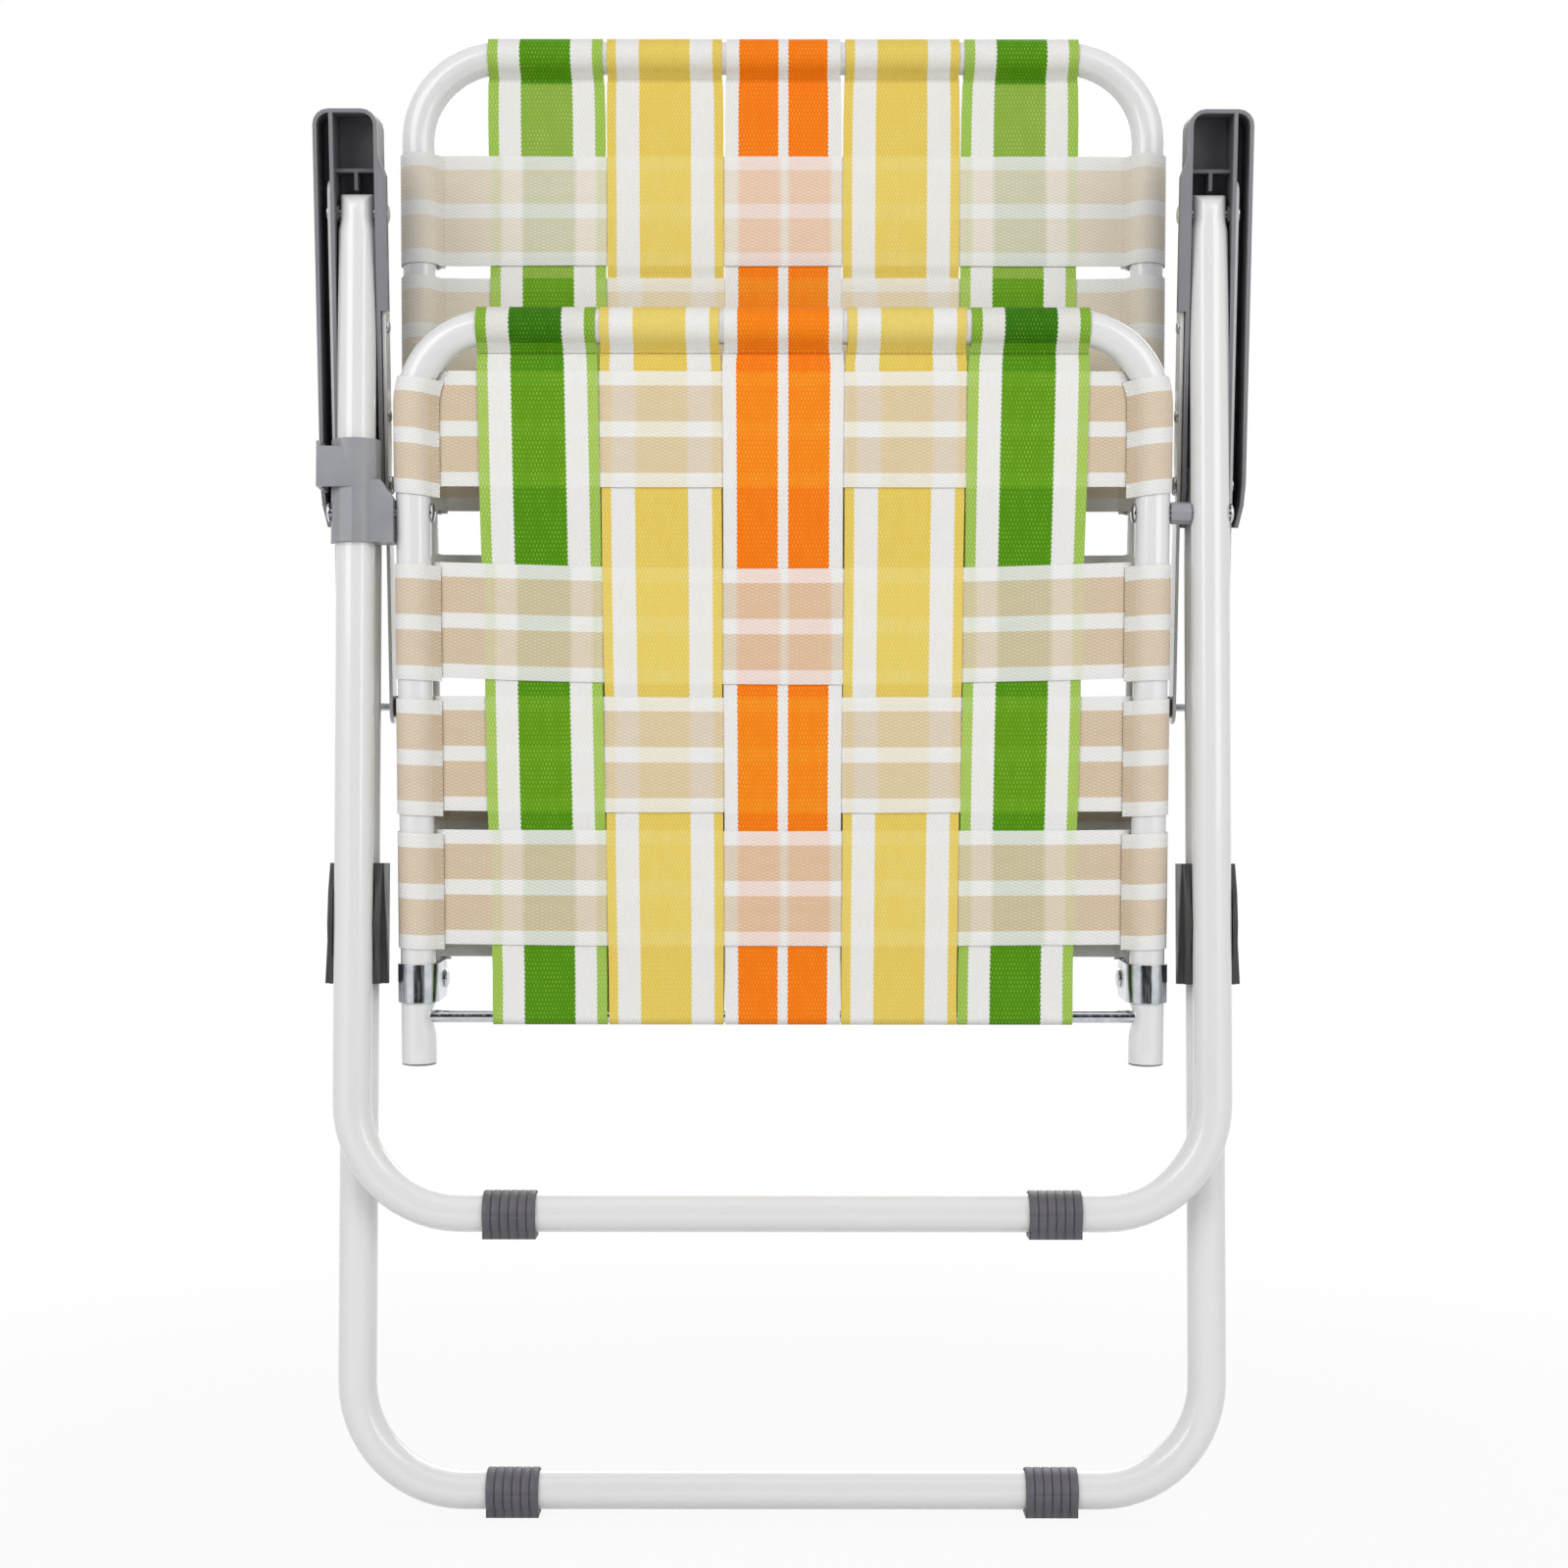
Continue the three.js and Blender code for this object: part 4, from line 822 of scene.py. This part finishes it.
def strap_mesh(route, width, width_axis):
    """A strap swept along a route of (point, crossing distance, seam distance), with its threads'
    directions kept as attributes, and the length of the strap"""
    bm = bmesh.new()
    names = ("across", "along", "crossing", "seam")
    across, along, crossing, seam = [bm.verts.layers.float.new(n) for n in names]
    shares = [k / STRAP_COLUMNS - 0.5 for k in range(STRAP_COLUMNS + 1)]
    start = route[0][0]
    row = [bm.verts.new(start + width_axis * (width * s)) for s in shares]
    edges = [bm.edges.new(pair) for pair in zip(row, row[1:])]
    for v, s in zip(row, shares):
        v[across] = width * s
        v[crossing], v[seam] = route[0][1:]
    run = 0.0
    for (before, _, _), (after, near, sewn) in zip(route, route[1:]):
        edges, verts = drawn_out(bm, edges, after - before)
        run += (after - before).length
        for v in verts:
            v[along], v[crossing], v[seam] = run, near, sewn
    for v in bm.verts:
        sway = EDGE_SWAY * math.sin(v[along] / SWAY_LENGTH + start.x * SWAY_SHIFT + start.z)
        v.co += width_axis * (sway * (v[across] / width))
    bmesh.ops.recalc_face_normals(bm, faces=bm.faces)
    return bm, run


def row_drop(drop, x):
    """How far a cross strap hangs below its ends at a place across the chair"""
    return drop * max(0.0, 1.0 - (x / REACH) ** 2)


def side_loop(half, tail):
    """The sewn loop at the left end of a cross strap as (x, y) with seam distances: its tail lies
    on the side that tail points to"""
    centre = Vector((-half, 0.0))
    inner = half - SIDE_SEAM
    sewn_tail = Vector((-inner, tail * TAIL_SIDE))
    sewn_main = Vector((-inner, -tail * MAIN_SIDE))
    first = tail * touch(sewn_tail, centre, LOOP_RADIUS)
    last = tail * (math.tau - touch(sewn_main, centre, LOOP_RADIUS))
    bow = on_circle(centre, LOOP_RADIUS, first, last, LOOP_STEPS)
    tail_end = Vector((-inner + LOOP_TAIL, tail * TAIL_SIDE))
    lead = sewn_main + Vector((LOOP_LEAD, 0.0))
    folds = [(tail_end, LOOP_TAIL), (sewn_tail, 0.0)] + [(p, LOOP) for p in bow]
    return folds + [(sewn_main, 0.0), (lead, LOOP_LEAD)]


def tube_line(panel, z):
    """A tube's axis and its stretch in width where it bends, at a height"""
    bend = panel.bend
    past = min(bend - BEND_REST, max(0.0, bend - (panel.rail - z)))
    inset = bend - math.sqrt(bend * bend - past * past)
    return panel.half(z) - inset, 1.0 / math.cos(math.asin(past / bend))


def cross_strap(node, panel, z, row, skew, drop):
    """A strap across the tubes, over and under the long straps, with a sewn loop that sits askew
    on each tube"""
    half = panel.half(z)
    drawn_in = panel.gather(z)
    loop = side_loop(half, panel.tail)
    last = len(loop) - 1
    left = [(p, z + skew * (1 - k / last), s) for k, (p, s) in enumerate(loop)]
    crossings = [(x * drawn_in, over_or_under(i, row)) for i, x in enumerate(COLUMNS)]
    gap_ends = (-half + SIDE_GAP, half - SIDE_GAP)
    middle = weave_run(crossings, LONG_WIDTH / 2 * drawn_in, gap_ends)
    route = [(Vector((p.x, p.y, at)), UNCROSSED, s) for p, at, s in left]
    route += [(Vector((x, y, z)), near / drawn_in, PLAIN_RUN) for x, y, near in middle]
    route += [(Vector((-p.x, p.y, at)), UNCROSSED, s) for p, at, s in reversed(left)]
    bm, length = strap_mesh(route, CROSS_WIDTH, Vector((0.0, 0.0, 1.0)))
    over = bm.verts.layers.float.new("over")
    outermost = COLUMNS[-1] * drawn_in + LONG_WIDTH / 2
    for v in bm.verts:
        v[over] = v.co.x / drawn_in
        axis, wide = tube_line(panel, v.co.z)
        share = smoothstep(abs(v.co.x), outermost, half - SIDE_EDGE)
        from_axis = abs(v.co.x) - half
        drawn = axis - half + from_axis * (wide - 1.0)
        v.co.z -= row_drop(drop, v.co.x)
        v.co.x += math.copysign(1.0, v.co.x) * share * drawn
    web = piece(f"{node}_woven", bm, panel.spot, "beige_strap", STRAP_CREASE, panel.finish)
    made = thickness(web, STRAP, 0.0)
    on_body(made, panel.body, node)


def rail_loop(centre, tail):
    """The sewn loop over a rail as (y, z) with seam distances, from its tail over the top to the
    strap itself"""
    sewn_tail = centre + Vector((tail * TAIL_SIDE, -RAIL_SEAM))
    sewn_main = centre + Vector((-tail * MAIN_SIDE, -RAIL_SEAM))
    down = -math.pi / 2
    first = down + tail * touch(sewn_tail, centre, LOOP_RADIUS)
    last = down + tail * (math.tau - touch(sewn_main, centre, LOOP_RADIUS))
    bow = on_circle(centre, LOOP_RADIUS, first, last, LOOP_STEPS)
    below = Vector((0.0, -LOOP_TAIL))
    folds = [(sewn_tail + below, LOOP_TAIL), (sewn_tail, 0.0)] + [(p, LOOP) for p in bow]
    return folds + [(sewn_main, 0.0), (sewn_main + below, LOOP_TAIL)]


def on_back(point):
    """A point along the back, as (y, z) from its hinge, in the folded chair"""
    lean, upright = math.sin(BACK_LEAN), math.cos(BACK_LEAN)
    return Vector((HINGE_Y + point.x * upright + point.y * lean,
                   HINGE_Z - point.x * lean + point.y * upright))


def round_the_rod():
    """A long strap's way round the rod and past the hinge, as (y, z)"""
    rod = Vector((0.0, ROD_Z))
    hinge = Vector((HINGE_Y, HINGE_Z))
    wrap = ROD_RADIUS + STRAP_SKIN + STRAP / 2
    to_hinge = hinge - rod
    leave = math.atan2(to_hinge.y, to_hinge.x) - math.acos(wrap / to_hinge.length)
    way = on_circle(rod, wrap, -math.pi, leave, ROD_STEPS)
    into = (hinge - way[-1]).normalized()
    up = (on_back(Vector((0.0, 1.0))) - hinge).normalized()
    before, after = hinge - into * HINGE_BEND, hinge + up * HINGE_BEND
    for k in range(HINGE_STEPS + 1):
        t = k / HINGE_STEPS
        way.append(before * (1 - t) ** 2 + hinge * (2 * t * (1 - t)) + after * t * t)
    return way


def long_strap(number, slot):
    """One strap from the seat's front rail down the seat, round the rod, past the hinge and up to
    the top rail"""
    column = number - 1
    x = COLUMNS[column]
    rows = [(row_drop(drop, x) - z, over_or_under(column, r))
            for r, (z, drop) in enumerate(zip(SEAT_ROWS, SEAT_DROPS))]
    seat_run = weave_run(rows, CROSS_WIDTH / 2, (-SEAT_FRONT + RAIL_GAP, -ROD_Z - ROD_GAP))
    rows = [(h, -over_or_under(column, r)) for r, h in reversed(list(enumerate(BACK_ROWS)))]
    back_end = BACK_HEIGHT - RAIL_GAP
    back_run = weave_run(rows, CROSS_WIDTH / 2, (HINGE_GAP, back_end), [LIGHT_EDGE])
    back_run.append((back_end, 0.0, UNCROSSED))
    flat = [(p, UNCROSSED, s) for p, s in rail_loop(Vector((0.0, SEAT_FRONT)), -1.0)]
    flat += [(Vector((y, -z)), near, PLAIN_RUN) for z, y, near in seat_run]
    flat += [(p, UNCROSSED, PLAIN_RUN) for p in round_the_rod()]
    seat_stations = len(flat)
    back_stations = seat_stations + len(back_run)
    flat += [(on_back(Vector((n, h))), near, PLAIN_RUN) for h, n, near in back_run]
    flat += [(on_back(p), UNCROSSED, min(s, TOP_LOOP))
             for p, s in reversed(rail_loop(Vector((0.0, BACK_HEIGHT)), 1.0))]
    route = [(Vector((x, p.x, p.y)), near, s) for p, near, s in flat]
    bm, length = strap_mesh(route, LONG_WIDTH, Vector((1.0, 0.0, 0.0)))
    crossing = bm.verts.layers.float["crossing"]
    single = bm.verts.layers.float.new("single")
    top_rail = on_back(Vector((0.0, BACK_HEIGHT))).y
    for i, v in enumerate(bm.verts):
        station = i // (STRAP_COLUMNS + 1)
        if station < seat_stations:
            rail, drawn_in = SEAT_FRONT, seat_gather(v.co.z)
        else:
            rail, drawn_in = top_rail, back_gather((v.co.z - HINGE_Z) / math.cos(BACK_LEAN))
            if station < back_stations and v[crossing] > CROSS_WIDTH / 2:
                v[single] = 1.0
        narrow = 1.0 - LOOP_GATHER * smoothstep(v.co.z, rail - GATHER_START, rail - GATHER_END)
        v.co.x = (x + (v.co.x - x) * narrow) * drawn_in
    made = thickness(piece(f"long_strap_{number}_woven", bm, SEAT, slot, STRAP_CREASE), STRAP, 0.0)
    start, end = [tuple(SEAT @ Vector((0.0, y, HINGE_Z))) for y in BLEND_SPAN]
    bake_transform(made, "seat", "back", start, end)
    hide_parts(f"seat_long_strap_{number}", f"back_long_strap_{number}")


# The chair

# Solids that keep their shape with rounded edges: name, body, slot and rounding
PAIRED_SOLIDS = [
    ("leg_cradle", "rear_legs", "dark_plastic", 1.2),
    ("armrest", "arms", "slate_plastic", 0.7),
    ("arm_bar_inner", "arms", "white_paint", 0.4),
    ("arm_bar_outer", "arms", "white_paint", 0.4),
    ("rear_arm_bush", "arms", "dark_plastic", 0.4),
    ("hinge_clamp", "seat", "zinc", 0.4),
    ("seat_plug", "seat", "clip_plastic", 0.2),
]
SINGLE_SOLIDS = [
    ("fold_clip", "front_legs", "clip_plastic", 0.8),
    ("seat_pivot_spacer", "front_legs", "clip_plastic", 0.5),
    ("cross_rod", "seat", "zinc", 0.4),
]
RIVETS = [
    ("seat_pivot_rivet", "front_legs"),
    ("hinge_rivet", "seat"),
    ("front_arm_rivet", "arms"),
    ("middle_arm_rivet", "arms"),
    ("rear_arm_rivet", "arms"),
]
# Fixing rivets of the arm bars: 1 outside or -1 inside, and how far behind the arm pivot
FIXINGS = [(1.0, 57.6), (1.0, 114.7), (-1.0, 64.0), (-1.0, 114.7)]


def make_frame():
    leg_tube("front_leg_painted", FRONT_LEG_RISE, -FRONT_LEG_LENGTH, FRONT_LEGS, "front_legs")
    leg_tube("rear_leg_painted", 0.0, -REAR_LEG_LENGTH, REAR_LEGS, "rear_legs")
    bm = bent_tube(SEAT_HALF_REAR, SEAT_HALF_FRONT, SEAT_END, SEAT_FRONT, SEAT_BEND, SEAT_RADIUS,
                   DENT_RINGS)
    for v in bm.verts:
        from_rod = v.co.z - ROD_Z
        if abs(from_rod) < DENT_REACH:
            inward = (seat_half(v.co.z) - abs(v.co.x)) / SEAT_RADIUS
            dent = DENT_DEPTH * math.exp(-(from_rod / DENT_SPREAD) ** 2)
            v.co.x += math.copysign(dent * smoothstep(inward, 0.2, 1.0), v.co.x)
    made = thickness(piece("seat_painted", bm, SEAT, "white_paint"), TUBE_WALL, -1.0)
    on_body(made, "seat", "seat_tube")
    bm = bent_tube(back_half(-SEAT_RADIUS), BACK_HALF_TOP, -SEAT_RADIUS, BACK_HEIGHT, BACK_BEND,
                   SEAT_RADIUS, [BACK_END_RING])
    for v in bm.verts:
        if v.co.z < -SEAT_RADIUS + BACK_END_SLANT:
            v.co.z = -math.sqrt(max(0.0, SEAT_RADIUS ** 2 - v.co.y ** 2))
    made = thickness(piece("back_painted", bm, BACK, "white_paint"), TUBE_WALL, -1.0)
    on_body(made, "back", "back_tube")


def make_fittings():
    for side, way in (("left", -1.0), ("right", 1.0)):
        at = Matrix.Translation((way * FOOT_OFFSET, 0.0, -FRONT_LEG_LENGTH))
        foot(f"front_foot_{side}", FRONT_LEGS @ at, "front_legs")
        at = Matrix.Translation((way * FOOT_OFFSET, 0.0, -REAR_LEG_LENGTH)) @ LEVEL_FOOT
        foot(f"rear_foot_{side}", REAR_LEGS @ at, "rear_legs")
        for name, body, slot, round_off in PAIRED_SOLIDS:
            softened(f"{name}_{side}", body, slot, round_off)
        for name, body in RIVETS:
            rivet(f"{name}_{side}", body)
        for number, (face, behind) in enumerate(FIXINGS, 1):
            facing = way * face
            head = [(FIXING_RADIUS, -FIXING_SINK)] + dome(0.0, FIXING_RADIUS, FIXING_HEIGHT)
            at = Matrix.Translation((way * LEG_HALF + facing * BAR_FACE, 0.0, -behind))
            turn_round = Matrix.Rotation(0.0 if facing > 0 else math.pi, 4, "Z")
            made = piece(f"bar_fixing_rivet_{side}_{number}", turned(head, FIXING_SIDES),
                         ARMS @ at @ turn_round, "zinc")
            on_body(made, "arms")
    for name, body, slot, round_off in SINGLE_SOLIDS:
        softened(name, body, slot, round_off)


def make_webbing():
    for row, (z, skew, drop) in enumerate(zip(SEAT_ROWS, SEAT_SKEWS, SEAT_DROPS), 1):
        cross_strap(f"seat_cross_strap_{row}", SEAT_PANEL, z, row, skew, drop)
    for row, h in enumerate(BACK_ROWS):
        cross_strap(f"back_cross_strap_{row + 1}", BACK_PANEL, h, row, BACK_SKEW, 0.0)
    for number, slot in enumerate(("green", "yellow", "orange", "yellow", "green"), 1):
        long_strap(number, f"{slot}_strap")


# Studio, in metres

FLOOR_SIZE = 6.0
FLOOR_GREY = (0.72, 0.72, 0.72, 1.0)
FLAG_SIZE = 0.55
FLAG_SPOT = (0.0, -0.9, 0.62)
ROOM_LIGHT = 0.4
# Lamps: name, place, aim, size and power
LAMPS = [
    ("key_light", (-1.6, -2.2, 1.7), (0.0, 0.0, 0.5), 2.0, 33.0),
    ("fill_light", (1.6, -2.2, 1.4), (0.0, 0.0, 0.4), 2.0, 27.0),
    ("rim_light", (0.4, 2.4, 2.0), (0.0, 0.0, 0.5), 2.4, 40.0),
]
LENS = 57.56
SENSOR_WIDTH = 36.0
CAMERA_SPOT = (0.0001, -1.4564, 0.3909)
CAMERA_PAN = math.radians(-0.024)
CAMERA_PITCH = math.radians(91.123)
CAMERA_ROLL = math.radians(0.05)


def pale_floor():
    """A matt floor that shows nearly white round the chair, with its shadow, and white far off"""
    sockets = {"Base Color": FLOOR_GREY, "Roughness": 0.9, "Specular IOR Level": 0.1}
    floor = Finish("pale_floor", sockets)
    away = floor.node("ShaderNodeVectorMath", {0: floor.point()}, "Value", operation="LENGTH")
    share = floor.calc("MULTIPLY", floor.on_show(), floor.spread(away, 0.35, 1.1, 0.9, 1.0))
    glow = floor.node("ShaderNodeEmission", {"Color": WHITE, "Strength": 1.0})
    both = floor.node("ShaderNodeMixShader", {0: share, 1: floor.shader.outputs[0], 2: glow})
    floor.tree.links.new(both, floor.tree.nodes["Material Output"].inputs["Surface"])
    return floor.material


def studio_sheet(name, size, spot, material):
    """A square sheet that isn't part of the chair"""
    bm = bmesh.new()
    bmesh.ops.create_grid(bm, x_segments=1, y_segments=1, size=size, matrix=spot)
    mesh = bpy.data.meshes.new(name)
    bm.to_mesh(mesh)
    bm.free()
    mesh.materials.append(material)
    made = bpy.data.objects.new(name, mesh)
    bpy.context.scene.collection.objects.link(made)
    return made


def make_room():
    """The floor, a dark flag that only reflections see, and an even light all round"""
    floor = studio_sheet("studio_floor", FLOOR_SIZE, Matrix.Identity(4), pale_floor())
    cloth = Finish("flag_cloth", {"Base Color": tone(30, 30, 32), "Roughness": 1.0}).material
    facing = Matrix.Translation(FLAG_SPOT) @ Matrix.Rotation(math.pi / 2, 4, "X")
    flag = studio_sheet("dark_flag", FLAG_SIZE, facing, cloth)
    flag.visible_camera = flag.visible_diffuse = flag.visible_shadow = False
    world = bpy.data.worlds.new("studio")
    bpy.context.scene.world = world
    world.use_nodes = True
    room = Nodes(world.node_tree)
    light = room.tree.nodes["Background"]
    light.inputs["Color"].default_value = WHITE
    level = room.spread(room.on_show(), 0.0, 1.0, ROOM_LIGHT, 1.0, "LINEAR")
    room.tree.links.new(level, light.inputs["Strength"])


def make_lamps():
    for name, spot, aim, size, power in LAMPS:
        lamp = bpy.data.lights.new(name, "AREA")
        lamp.size = size
        lamp.energy = power
        made = bpy.data.objects.new(name, lamp)
        made.location = spot
        facing = (Vector(aim) - Vector(spot)).to_track_quat("-Z", "Y")
        made.rotation_euler = facing.to_euler()
        bpy.context.scene.collection.objects.link(made)


def make_camera():
    """A camera where the photograph was taken from"""
    lens = bpy.data.cameras.new("photo_camera")
    lens.lens = LENS
    lens.sensor_width = SENSOR_WIDTH
    camera = bpy.data.objects.new("photo_camera", lens)
    turn = Matrix.Rotation(CAMERA_PAN, 4, "Z") @ Matrix.Rotation(CAMERA_PITCH, 4, "X")
    upright = turn @ Matrix.Rotation(CAMERA_ROLL, 4, "Z")
    camera.matrix_world = Matrix.Translation(CAMERA_SPOT) @ upright
    bpy.context.scene.collection.objects.link(camera)
    bpy.context.scene.camera = camera
    bpy.context.scene.view_settings.view_transform = "Standard"


make_room()
make_lamps()
make_camera()
make_frame()
make_fittings()
make_webbing()
